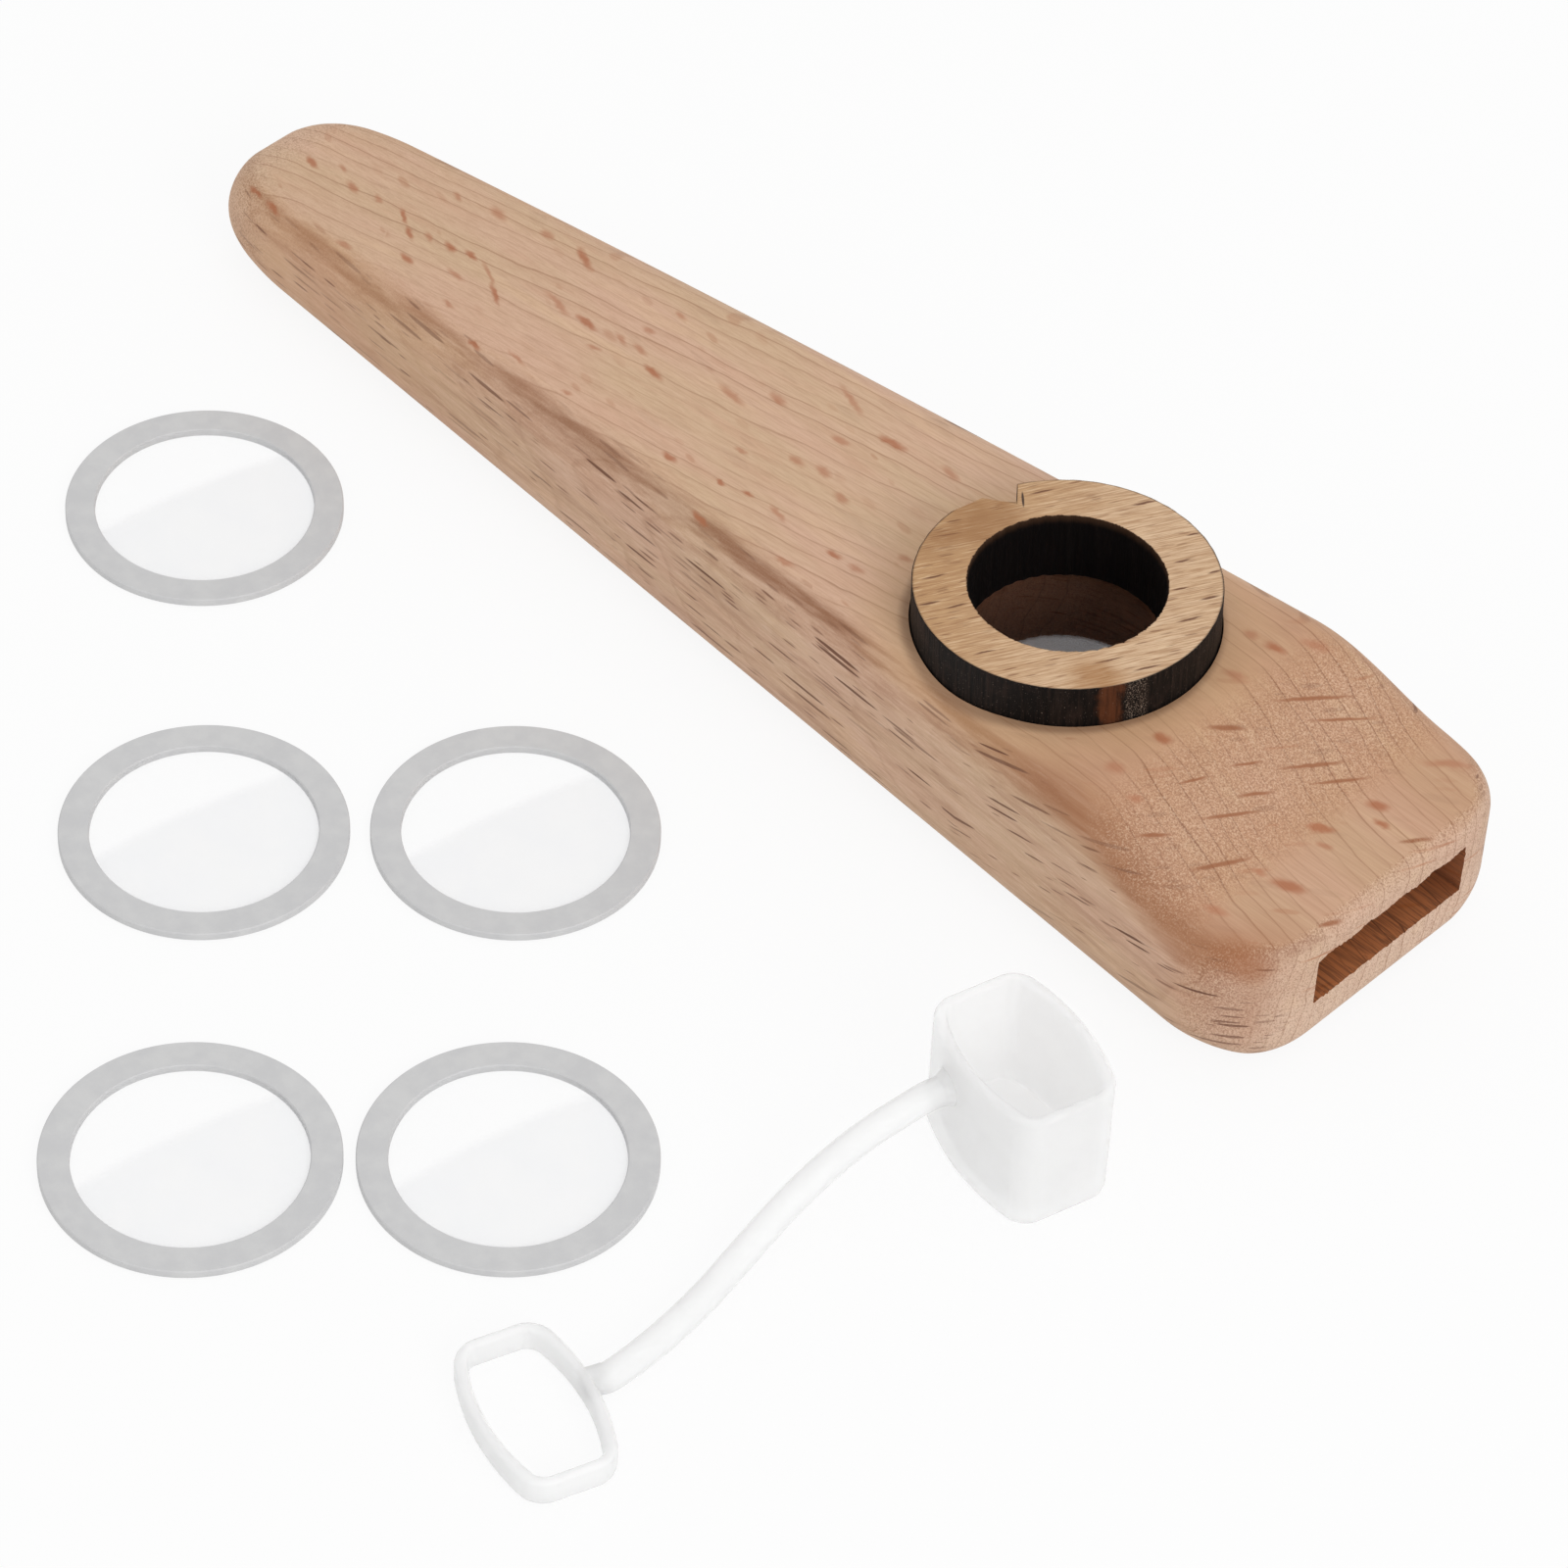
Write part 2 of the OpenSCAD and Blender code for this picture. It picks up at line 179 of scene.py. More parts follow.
class Net:
    """A material's nodes, written as sums."""

    def __init__(self, tree):
        self.tree, self.base = tree, None
        tree.nodes.clear()

    def add(self, kind, inputs=None, **props):
        node = self.tree.nodes.new(kind)
        for key, value in props.items():
            setattr(node, key, value)
        for key, value in (inputs or {}).items():
            self.put(node.inputs[key], value)
        return node

    def put(self, socket, value):
        if isinstance(value, bpy.types.NodeSocket):
            self.tree.links.new(value, socket)
        else:
            socket.default_value = value

    def fill(self, node, *values):
        """Gives a node its first inputs in order."""
        for socket, value in zip(node.inputs, values):
            self.put(socket, value)
        return node.outputs

    def math(self, op, *values):
        return self.fill(self.add("ShaderNodeMath", operation=op), *values)[0]

    def chain(self, op, first, *others):
        for value in others:
            first = self.math(op, first, value)
        return first

    def times(self, *values):
        return self.chain("MULTIPLY", *values)

    def plus(self, *values):
        return self.chain("ADD", *values)

    def minus(self, *values):
        return self.chain("SUBTRACT", *values)

    def vector(self, op, *values):
        outputs = self.fill(self.add("ShaderNodeVectorMath", operation=op), *values)
        return outputs["Value" if op in ("DOT_PRODUCT", "LENGTH", "DISTANCE") else "Vector"]

    def scaled(self, vector, x, y, z):
        return self.vector("MULTIPLY", vector, (x, y, z))

    def xyz(self, vector):
        return self.add("ShaderNodeSeparateXYZ", {"Vector": vector}).outputs

    def join(self, x, y, z):
        return self.add("ShaderNodeCombineXYZ", {"X": x, "Y": y, "Z": z}).outputs[0]

    def smooth(self, value, low, high, to_low=0.0, to_high=1.0):
        """A soft step from to_low to to_high while the value goes from low to high."""
        inputs = {"Value": value, "From Min": low, "From Max": high, "To Min": to_low, "To Max": to_high}
        return self.add("ShaderNodeMapRange", inputs, interpolation_type="SMOOTHSTEP").outputs["Result"]

    def ease(self, share, to_low, to_high):
        return self.smooth(share, 0.0, 1.0, to_low, to_high)

    def blend(self, share, a, b):
        node = self.add("ShaderNodeMix", data_type="RGBA")
        for index, value in ((0, share), (6, a), (7, b)):
            self.put(node.inputs[index], value)
        return node.outputs[2]

    def paint(self, share, r, g, b):
        """Covers the base colour with a share of another one, given as it is seen."""
        self.base = self.blend(share, self.base, srgb(r, g, b))

    def noise(self, vector, detail=2.0, rough=0.5):
        inputs = {"Vector": vector, "Scale": 1.0, "Detail": detail, "Roughness": rough}
        return self.add("ShaderNodeTexNoise", inputs).outputs["Fac"]

    def drift(self, vector, scale, detail, reach):
        """An offset that wanders up to about half of reach either way."""
        node = self.add("ShaderNodeTexNoise", {"Vector": vector, "Scale": scale, "Detail": detail})
        return self.scaled(self.vector("SUBTRACT", node.outputs["Color"], (0.5, 0.5, 0.5)), *reach)

    def cells(self, vector):
        """For round cells of size 1: the distance from the middle, and three random values."""
        node = self.add("ShaderNodeTexVoronoi", {"Vector": vector, "Scale": 1.0})
        return node.outputs["Distance"], self.xyz(node.outputs["Color"])

    def plan(self, vector, shift):
        """The shifted place as (x, y, 1), which marks needs."""
        return self.vector("ADD", self.scaled(self.vector("ADD", vector, shift), 1, 1, 0), (0, 0, 1))

    def marks(self, flat, places):
        """How far (x, y, 1) is from the nearest ellipse (x, y, length, width, degrees): 1 on its rim."""
        nearest = None
        for x, y, length, width, degrees in places:
            c, s = math.cos(math.radians(degrees)), math.sin(math.radians(degrees))
            a, b = 2 / length, 2 / width
            u = self.vector("DOT_PRODUCT", flat, (c * a, s * a, -(c * x + s * y) * a))
            v = self.vector("DOT_PRODUCT", flat, (-s * b, c * b, (s * x - c * y) * b))
            away = self.math("MULTIPLY_ADD", v, v, self.times(u, u))
            nearest = away if nearest is None else self.math("MINIMUM", nearest, away)
        return self.math("SQRT", nearest)

    def place_mm(self):
        """The place on the piece in millimetres."""
        return self.scaled(self.add("ShaderNodeTexCoord").outputs["Object"], 1000, 1000, 1000)

    def bump(self, height, strength, distance):
        inputs = {"Height": height, "Strength": strength, "Distance": distance}
        return self.add("ShaderNodeBump", inputs).outputs[0]

    def seen_directly(self):
        """1 for what the camera sees, also in a gloss or through a clear piece, and 0 otherwise."""
        rays = self.add("ShaderNodeLightPath").outputs
        seen = self.math("MAXIMUM", rays["Is Camera Ray"], rays["Is Glossy Ray"])
        return self.math("MAXIMUM", seen, rays["Is Transmission Ray"])

    def two_shaders(self, share, first, second):
        return self.fill(self.add("ShaderNodeMixShader"), share, first, second)[0]

    def finish(self, shader):
        self.add("ShaderNodeOutputMaterial", {"Surface": shader})


def new_material(name):
    material = bpy.data.materials.new(name)
    material.use_nodes = True
    return material, Net(material.node_tree)


def principled(net, color, roughness, normal, **constants):
    inputs = {"Base Color": color, "Roughness": roughness, "Normal": normal}
    inputs |= {key.replace("_", " "): value for key, value in constants.items()}
    return net.add("ShaderNodeBsdfPrincipled", inputs).outputs[0]


# Where single rays come up: x, y, length and width in mm, and degrees from X
RAY_STREAKS = [
    (17.2, 7.4, 7.4, 0.42, 61), (15.2, 0.0, 3.4, 0.6, 52), (20.9, 3.4, 6.3, 0.4, 64),
    (22.9, 4.2, 5.1, 0.36, 62), (20.1, -2.1, 3.3, 0.38, 64), (22.5, -8.5, 6.0, 0.5, 68),
    (19.6, 8.1, 6.2, 0.3, 61), (18.1, -0.9, 2.8, 0.28, 66), (20.2, -5.0, 5.5, 0.34, 65),
    (18.2, -11.1, 3.0, 0.42, 60), (30.3, 4.0, 2.8, 0.5, 56), (31.3, -6.5, 2.6, 0.45, 74),
    (16.8, -5.3, 3.0, 0.3, 70)]
STRONG_FLECKS = [
    (26.1, 4.7, 1.7, 0.95, 22), (26.9, -6.1, 2.5, 1.1, 21), (12.9, -4.5, 1.4, 0.95, 16),
    (12.4, 8.5, 1.6, 0.85, 10), (24.8, -0.1, 2.0, 0.75, 39), (27.6, 3.5, 1.3, 0.7, 7),
    (-81.6, -0.7, 1.7, 0.6, -21), (-70.9, -0.7, 2.0, 0.4, -31), (-69.0, -1.9, 1.8, 0.5, -31),
    (-65.3, -1.0, 1.5, 0.65, -21), (-63.3, -0.6, 1.6, 0.5, -18), (-58.4, -2.8, 2.8, 0.42, -33),
    (-66.8, -4.3, 1.6, 0.55, -16), (-56.6, 5.2, 2.5, 0.7, -28), (-50.6, -0.4, 2.4, 0.62, -11),
    (-42.5, -1.2, 2.1, 0.62, -11), (-34.5, -7.5, 1.6, 0.55, -8), (-80.1, -6.4, 2.0, 0.4, -16),
    (-82.7, -5.8, 1.8, 0.36, -16), (-55.4, -7.9, 1.5, 0.36, -11), (-27.2, -6.4, 1.1, 0.45, 7),
    (-29.6, -6.9, 0.9, 0.4, -5), (-28.3, -10.4, 1.9, 0.4, -8), (-23.4, 5.4, 2.6, 0.72, 1),
    (-17.7, -6.9, 1.4, 0.55, 1)]
SOFT_FLECKS = [
    (12.5, -9.2, 1.4, 1.1, 17), (26.1, -1.2, 1.1, 0.65, 17), (24.6, -6.7, 1.0, 0.6, 24),
    (25.0, -11.7, 1.8, 0.8, 23), (10.2, 8.3, 1.3, 0.75, -1), (14.2, 11.0, 2.0, 0.9, 31),
    (12.3, 4.2, 1.7, 0.9, 14), (15.4, -10.1, 1.1, 0.7, 42), (26.9, 11.7, 3.3, 0.8, 45),
    (-79.2, 0.4, 1.0, 0.42, -20), (-76.8, -0.8, 1.8, 0.62, -18), (-74.1, -0.5, 1.4, 0.42, -23),
    (-67.5, -1.2, 1.3, 0.42, -29), (-60.6, -1.3, 3.0, 0.34, -28), (-62.4, -3.2, 1.8, 0.5, -10),
    (-69.6, 3.9, 1.2, 0.48, -23), (-65.6, 4.6, 2.0, 0.85, -17), (-60.8, 5.3, 1.4, 0.7, -9),
    (-53.8, -0.3, 3.0, 0.52, -19), (-48.0, -2.2, 1.2, 0.46, 4), (-47.2, 0.0, 1.6, 0.5, -25),
    (-45.2, 0.1, 1.6, 0.5, -15), (-71.9, -6.2, 1.5, 0.45, -5), (-45.8, 5.2, 1.3, 0.5, -14),
    (-45.6, -7.4, 1.1, 0.38, 5), (-60.2, -6.1, 1.2, 0.38, -10), (-51.5, -7.1, 2.0, 0.34, -12),
    (-36.2, 1.0, 2.9, 0.65, -13), (-29.1, 6.9, 3.4, 0.52, -22), (-24.0, -6.5, 2.0, 0.45, -19),
    (-27.2, -1.1, 1.5, 0.68, -9), (-24.9, -0.6, 1.6, 0.75, -17), (-21.8, -1.9, 1.5, 0.72, -9),
    (-26.5, 2.9, 1.5, 0.66, 0), (-17.8, 5.9, 1.9, 0.66, -13), (-20.0, -9.9, 1.6, 0.48, 3),
    (-13.6, -3.5, 1.2, 0.64, 3), (-31.0, -3.2, 1.2, 0.45, -2), (-46.4, 2.2, 1.1, 0.44, 5),
    (-15.4, -6.9, 1.4, 0.64, 1), (-33.3, 3.1, 1.7, 0.7, -13)]

# Where the growth layers start to bend aside, over what length, and how steeply
BEND_X, BEND_EASE, BEND_SLOPE = 9.0, 3.5, 0.31
LAYER_THICK = 1.36
SIDE_SLOPE = (MOUTH_WIDTH - TIP_WIDTH) / 2 / BODY_LENGTH


def beech_material(name, cut=0.0, dark=0.0):
    """Beech in three dimensions: growth layers, rays that cross them, fibres, pores on end grain.

    The colours follow the grain's own directions, so each face shows its own cut through the wood."""
    material, n = new_material(name)
    place = n.place_mm()
    x, y, z = n.xyz(place)
    nx, ny, nz = n.xyz(n.add("ShaderNodeTexCoord").outputs["Normal"])

    # Growth layers: nearly upright sheets along the body that bend aside near the mouth
    past_bend = n.math("EXPONENT", n.math("DIVIDE", n.minus(x, BEND_X), BEND_EASE))
    bend = n.times(n.math("LOGARITHM", n.plus(past_bend, 1.0), math.e), BEND_EASE * BEND_SLOPE)
    along = n.minus(n.times(x, 0.098), bend)
    slow = n.noise(n.scaled(place, 0.022, 0.13, 0.13))
    ripple = n.noise(n.scaled(place, 0.13, 0.3, 0.3), detail=3.0)
    depth = n.minus(y, along, n.times(z, 0.19))
    depth = n.plus(depth, n.times(n.minus(slow, 0.5), 2.6), n.times(n.minus(ripple, 0.5), 1.1))
    layers = n.plus(n.math("DIVIDE", depth, LAYER_THICK), 0.35)
    layer = n.math("FLOOR", layers)
    share = n.math("FRACT", layers)
    strength = n.add("ShaderNodeTexWhiteNoise", {"W": layer}, noise_dimensions="1D").outputs["Value"]
    late = n.times(n.smooth(share, 0.25, 0.98), n.ease(strength, 0.35, 1.0))
    line = n.times(n.smooth(share, 0.86, 0.955), n.smooth(share, 0.965, 1.0, 1.0, 0.15))
    line = n.times(line, n.smooth(strength, 0.1, 0.9, 0.35, 1.0))

    # Rays: thin ribbons along the fibres that run across the layers, tilted a little
    wander = n.drift(n.scaled(place, 0.35, 0.7, 0.7), 1.0, 3.0, (0.9, 0.9, 0.08))
    across = n.minus(n.times(y, 0.96), n.times(z, 0.27), n.times(x, 0.09))
    upright = n.plus(n.times(y, 0.27), n.times(z, 0.96))
    upright = n.minus(upright, n.times(n.math("MAXIMUM", n.minus(x, 2.0), 0.0), 0.2))
    grain = n.vector("ADD", n.join(x, across, upright), wander)
    distance, tone = n.cells(n.scaled(grain, 1 / 3.2, 1 / 9.5, 1 / 0.36))
    edge = n.math("DIVIDE", distance, n.ease(tone[1], 0.16, 0.36))
    shown = n.math("GREATER_THAN", tone[0], 0.6)
    broad = n.times(n.smooth(edge, 1.08, 0.55), shown, n.ease(tone[2], 0.35, 1.0))
    distance, tone = n.cells(n.scaled(grain, 1 / 8.5, 1 / 2.4, 1 / 0.4))
    edge = n.math("DIVIDE", distance, n.ease(tone[2], 0.13, 0.36))
    shown = n.math("GREATER_THAN", tone[0], 0.14)
    fine = n.times(n.smooth(edge, 1.1, 0.8), shown, n.ease(tone[1], 0.3, 1.0))

    # How the surface cuts the grain
    upper = n.smooth(nz, 0.45, 0.75)
    tangential = n.smooth(n.math("ABSOLUTE", ny), 0.2, 0.6)
    end_grain = n.smooth(n.math("ABSOLUTE", nx), 0.02, 0.34)
    slope_end = n.times(end_grain, n.smooth(nz, 0.25, 0.75), n.smooth(nx, -0.05, 0.1))
    slope_end = n.times(slope_end, n.smooth(x, 29.5, 27.0))
    mouth_end = n.smooth(nx, 0.55, 0.92)
    fibres = n.noise(n.scaled(place, 0.15, 6.5, 6.5), detail=3.0, rough=0.6)
    pores = n.noise(n.scaled(place, 7.0, 7.0, 7.0), rough=0.75)
    pore = n.times(n.smooth(pores, 0.52, 0.6), end_grain)
    fuzz = n.times(n.smooth(pores, 0.47, 0.39), end_grain)

    # The plain colour, face by face, then the layers and the fibres in it
    cloud = n.noise(n.scaled(place, 0.05, 0.22, 0.22))
    n.base = n.blend(n.smooth(cloud, 0.32, 0.68), srgb(214, 176, 150), srgb(209, 177, 145))
    front = n.times(n.smooth(x, 1.0, 13.0), n.smooth(x, 22.0, 27.0, 1.0, 0.55), upper)
    n.paint(n.times(front, 0.76), 190, 144, 110)
    n.paint(n.times(slope_end, 0.52), 188, 139, 104)
    n.paint(n.times(mouth_end, 0.46), 210, 173, 148)
    n.paint(n.times(mouth_end, n.smooth(z, 9.0, 4.0, 0.0, 0.4)), 238, 214, 192)
    n.paint(n.times(tangential, 0.22), 196, 162, 138)
    tone = n.noise(n.scaled(place, 0.06, 0.42, 0.42), detail=3.0, rough=0.6)
    n.paint(n.smooth(tone, 0.5, 0.7, 0.0, 0.32), 206, 160, 132)
    n.paint(n.smooth(tone, 0.48, 0.3, 0.0, 0.32), 224, 190, 152)
    n.paint(n.times(late, n.ease(tangential, 0.24, 0.12)), 186, 145, 116)
    line_share = n.plus(n.ease(end_grain, 0.5, 0.9), n.ease(tangential, 0.0, -0.34), n.times(front, 0.16))
    n.paint(n.times(line, n.math("MAXIMUM", line_share, 0.0)), 144, 98, 68)
    n.paint(n.smooth(fibres, 0.4, 0.68, 0.0, 0.3), 172, 130, 102)
    pale = n.times(n.smooth(fibres, 0.44, 0.32), n.ease(tangential, 0.1, 0.42))
    n.paint(pale, 226, 196, 172)

    # A browner band along the rounded edge that grows towards the mouth, broken up along its length
    near_side = n.math("LESS_THAN", ny, 0.0)
    on_edge = n.times(n.smooth(nz, 0.15, 0.62), n.smooth(nz, 0.985, 0.8), near_side)
    drift = n.noise(n.scaled(place, 0.055, 0.9, 0.9), detail=4.0, rough=0.65)
    n.paint(n.times(n.smooth(drift, 0.5, 0.66, 0.0, 0.34), tangential), 164, 120, 96)
    n.paint(n.times(n.smooth(drift, 0.48, 0.34, 0.0, 0.34), tangential), 222, 190, 164)
    band = n.times(n.smooth(drift, 0.34, 0.66, 0.15, 0.75), n.smooth(x, -50.0, 16.0, 0.6, 1.0))
    n.paint(n.times(on_edge, band), 150, 102, 72)
    ridge = n.times(n.smooth(nz, 0.5, 0.7), n.smooth(nz, 0.9, 0.82), near_side, n.smooth(x, 8.0, 2.0))
    ridge = n.times(ridge, n.smooth(x, -75.0, -15.0, 0.5, 1.0))
    n.paint(n.times(ridge, n.smooth(drift, 0.34, 0.6, 0.25, 0.62)), 136, 90, 60)
    from_side = n.plus(y, MOUTH_WIDTH / 2, n.times(n.minus(x, MOUTH_REACH), SIDE_SLOPE))
    stain = n.smooth(n.plus(from_side, n.times(drift, 4.0)), 7.4, 3.0)
    stain = n.times(stain, n.smooth(x, -2.0, 13.0), n.smooth(nz, 0.1, 0.6))
    n.paint(n.times(stain, 0.55), 156, 103, 68)
    corner = n.smooth(n.vector("DISTANCE", place, (30.5, -13.5, 8.0)), 8.0, 2.0)
    n.paint(n.times(corner, n.smooth(nx, 0.97, 0.75), 0.55), 164, 108, 70)

    # Painted warm bounce light round the ring, a painted contact shadow at its foot, and smaller changes
    # along the body
    level = n.scaled(place, 1, 1, 0)
    # Painted light: a warm bounce tint on the top, growing from 17 mm to 12 mm of the ring's middle
    around = n.vector("DISTANCE", level, (-0.6, 0.0, 0.0))
    n.paint(n.times(n.smooth(around, 17.0, 12.0, 0.0, 0.36), upper), 220, 176, 130)
    # Painted contact shadow: a dark line round the ring's foot, wider towards the near side
    foot = n.vector("DISTANCE", level, (-0.6, -0.4, 0.0))
    n.paint(n.times(n.smooth(foot, 12.4, 11.6, 0.0, 0.5), upper), 98, 60, 36)
    n.paint(n.times(tangential, n.smooth(z, 4.0, 0.5, 0.0, 0.35)), 222, 188, 160)
    n.paint(n.times(tangential, n.smooth(x, -40.0, -75.0, 0.0, 0.26)), 200, 148, 100)
    n.paint(n.smooth(x, -81.0, -86.5, 0.0, 0.4), 224, 190, 162)
    n.paint(n.times(n.smooth(nx, 0.2, 0.6), 0.26), 206, 180, 163)
    far_lip = n.times(upper, n.smooth(x, 22.0, 26.0), n.smooth(y, 2.0, 9.0, 0.0, 0.24))
    n.paint(far_lip, 184, 136, 102)

    # End grain: dark pores and pale torn fibres
    n.paint(n.times(pore, 0.5), 138, 96, 70)
    n.paint(n.times(fuzz, n.ease(mouth_end, 0.42, 0.16)), 230, 200, 172)

    # Rays as the surface shows them: dark dashes on the sides, orange-brown flecks and streaks above
    ray_color = n.blend(tangential, srgb(172, 112, 78), srgb(118, 78, 58))
    n.base = n.blend(n.times(broad, n.ease(upper, 0.78, 0.36)), n.base, ray_color)
    dashes = n.times(fine, n.ease(tangential, 0.08, 0.95), n.smooth(z, 0.5, 7.0, 0.55, 1.0))
    dashes = n.times(dashes, n.smooth(x, -75.0, -30.0, 0.5, 1.0))
    dashes = n.math("MAXIMUM", dashes, n.times(fine, slope_end, 0.22))
    n.paint(dashes, 108, 70, 52)
    jitter = n.drift(place, 1.3, 2.0, (0.5, 0.5, 0.0))
    straight = n.plan(place, n.scaled(jitter, 0.35, 0.35, 0))
    streak = n.smooth(n.marks(straight, RAY_STREAKS), 1.15, 0.35)
    torn = n.smooth(pores, 0.38, 0.6, 1.0, 0.72)
    n.paint(n.times(streak, torn, upper, 0.92), 150, 92, 58)
    flat = n.plan(place, jitter)
    strong = n.smooth(n.marks(flat, STRONG_FLECKS), 1.5, 0.35)
    n.paint(n.times(strong, upper, 0.8), 168, 101, 66)
    soft = n.smooth(n.marks(flat, SOFT_FLECKS), 1.6, 0.3)
    n.paint(n.times(soft, upper, 0.6), 174, 112, 80)
    knot_distance = n.vector("DISTANCE", n.scaled(place, 0.6, 1.0, 1.0), (29.4 * 0.6, -13.3, 10.8))
    n.paint(n.times(n.smooth(knot_distance, 2.4, 0.3), 0.62), 158, 100, 64)

    if cut:
        # Painted shade: the cut faces darker towards the far side, from y 4 to 7.5 mm; the grooves follow
        # the grain
        wall = n.blend(n.smooth(y, 4.0, 7.5), srgb(176, 104, 56), srgb(150, 84, 42))
        grooves = n.math("MAXIMUM", line, n.smooth(fibres, 0.42, 0.62, 0.0, 0.75))
        n.base = n.blend(cut, n.base, n.blend(grooves, wall, srgb(96, 52, 26)))
    # Painted shade: the wood deep in the chamber and the bore darkened towards dark brown
    if dark:
        n.paint(dark, 86, 42, 23)

    height = n.plus(n.times(fibres, 0.5), n.times(pores, end_grain, 1.3))
    height = n.minus(height, n.times(dashes, 0.8))
    n.finish(principled(n, n.base, 0.66, n.bump(height, 0.35, 0.00012), Specular_IOR_Level=0.28))
    return material


# Where the ring's wall turns from its hole to its outside, for the shader
WALL_MIDDLE = 9.3


def burnt_material(name):
    """Laser-cut edge: charred almost black, striped along the beam, with one patch that stayed brown."""
    material, n = new_material(name)
    place = n.place_mm()
    x, y, z = n.xyz(place)
    angle = n.math("ARCTAN2", y, x)
    radius = n.vector("LENGTH", n.join(x, y, 0.0))
    round_place = n.join(n.times(angle, RING_RADIUS), radius, z)
    stripes = n.noise(n.scaled(round_place, 3.6, 0.2, 0.22), detail=3.0, rough=0.65)
    blotches = n.noise(n.scaled(round_place, 0.45, 0.2, 0.4), detail=3.0, rough=0.6)
    specks = n.noise(n.scaled(place, 11, 11, 11), detail=1.0)
    outside = n.smooth(radius, WALL_MIDDLE, WALL_MIDDLE + 1)
    inside = n.smooth(radius, WALL_MIDDLE, WALL_MIDDLE - 1)
    n.base = n.blend(n.smooth(stripes, 0.38, 0.72), srgb(10, 7, 6), srgb(33, 24, 20))
    n.paint(n.times(inside, 0.72), 9, 6, 6)
    n.paint(n.times(inside, n.smooth(z, 2.7, 3.5, 0.0, 0.55)), 84, 58, 40)
    n.paint(n.times(n.smooth(blotches, 0.52, 0.74, 0.0, 0.3), outside), 58, 42, 36)
    uneven = n.times(n.minus(n.noise(n.scaled(place, 0.8, 0.8, 0.8), detail=4.0), 0.5), 0.16)
    patch = n.smooth(n.math("ABSOLUTE", n.plus(angle, 0.545, uneven)), 0.105, 0.035)
    patch = n.times(patch, outside, n.smooth(stripes, 0.28, 0.62, 0.35, 1.0))
    n.paint(n.times(patch, 0.72), 98, 54, 30)
    ash = n.smooth(n.math("ABSOLUTE", n.plus(angle, 0.375)), 0.1, 0.05)
    ash = n.times(ash, outside, n.smooth(specks, 0.56, 0.66))
    n.paint(n.times(ash, 0.38), 186, 166, 148)
    stray = n.times(n.smooth(specks, 0.7, 0.76), outside)
    n.paint(n.times(stray, 0.35), 170, 150, 138)
    n.finish(principled(n, n.base, 0.62, n.bump(stripes, 0.5, 0.0002), Specular_IOR_Level=0.12))
    return material


# Dark dashes on the ring's top face, in its own plane
RING_DASHES = [
    (-8.2, 6.1, 2.0, 0.2, 63), (-1.9, 10.5, 2.1, 0.26, 62), (3.0, 10.5, 1.2, 0.2, 63),
    (4.4, 7.7, 1.4, 0.24, 62), (6.9, 8.5, 1.2, 0.22, 66), (6.3, 5.3, 1.3, 0.2, 61),
    (8.5, 6.1, 1.6, 0.26, 63), (9.0, 3.3, 2.1, 0.26, 64), (-7.4, -6.4, 2.0, 0.22, 63),
    (-5.7, -8.8, 1.8, 0.26, 61), (-4.1, -7.6, 1.8, 0.22, 65), (7.7, -4.2, 2.6, 0.2, 63),
    (-10.6, -0.9, 1.4, 0.18, 60), (-9.8, -2.2, 1.8, 0.18, 59), (10.3, -2.7, 2.3, 0.24, 64),
    (0.8, -9.7, 1.6, 0.16, 62)]
CHIP_CUT = [(-8.6, 4.45, 1.9, 0.22, 136)]
# Scorched places there: middle, outer and inner radius, share and colour
SCORCHED = [((-9.4, 0.8, 0.0), 3.9, 1.9, 0.62, (150, 104, 62)),
            ((-10.0, -3.4, 0.0), 2.6, 0.8, 0.55, (146, 100, 60)),
            ((8.3, -6.1, 0.0), 3.0, 0.8, 0.62, (160, 108, 54))]


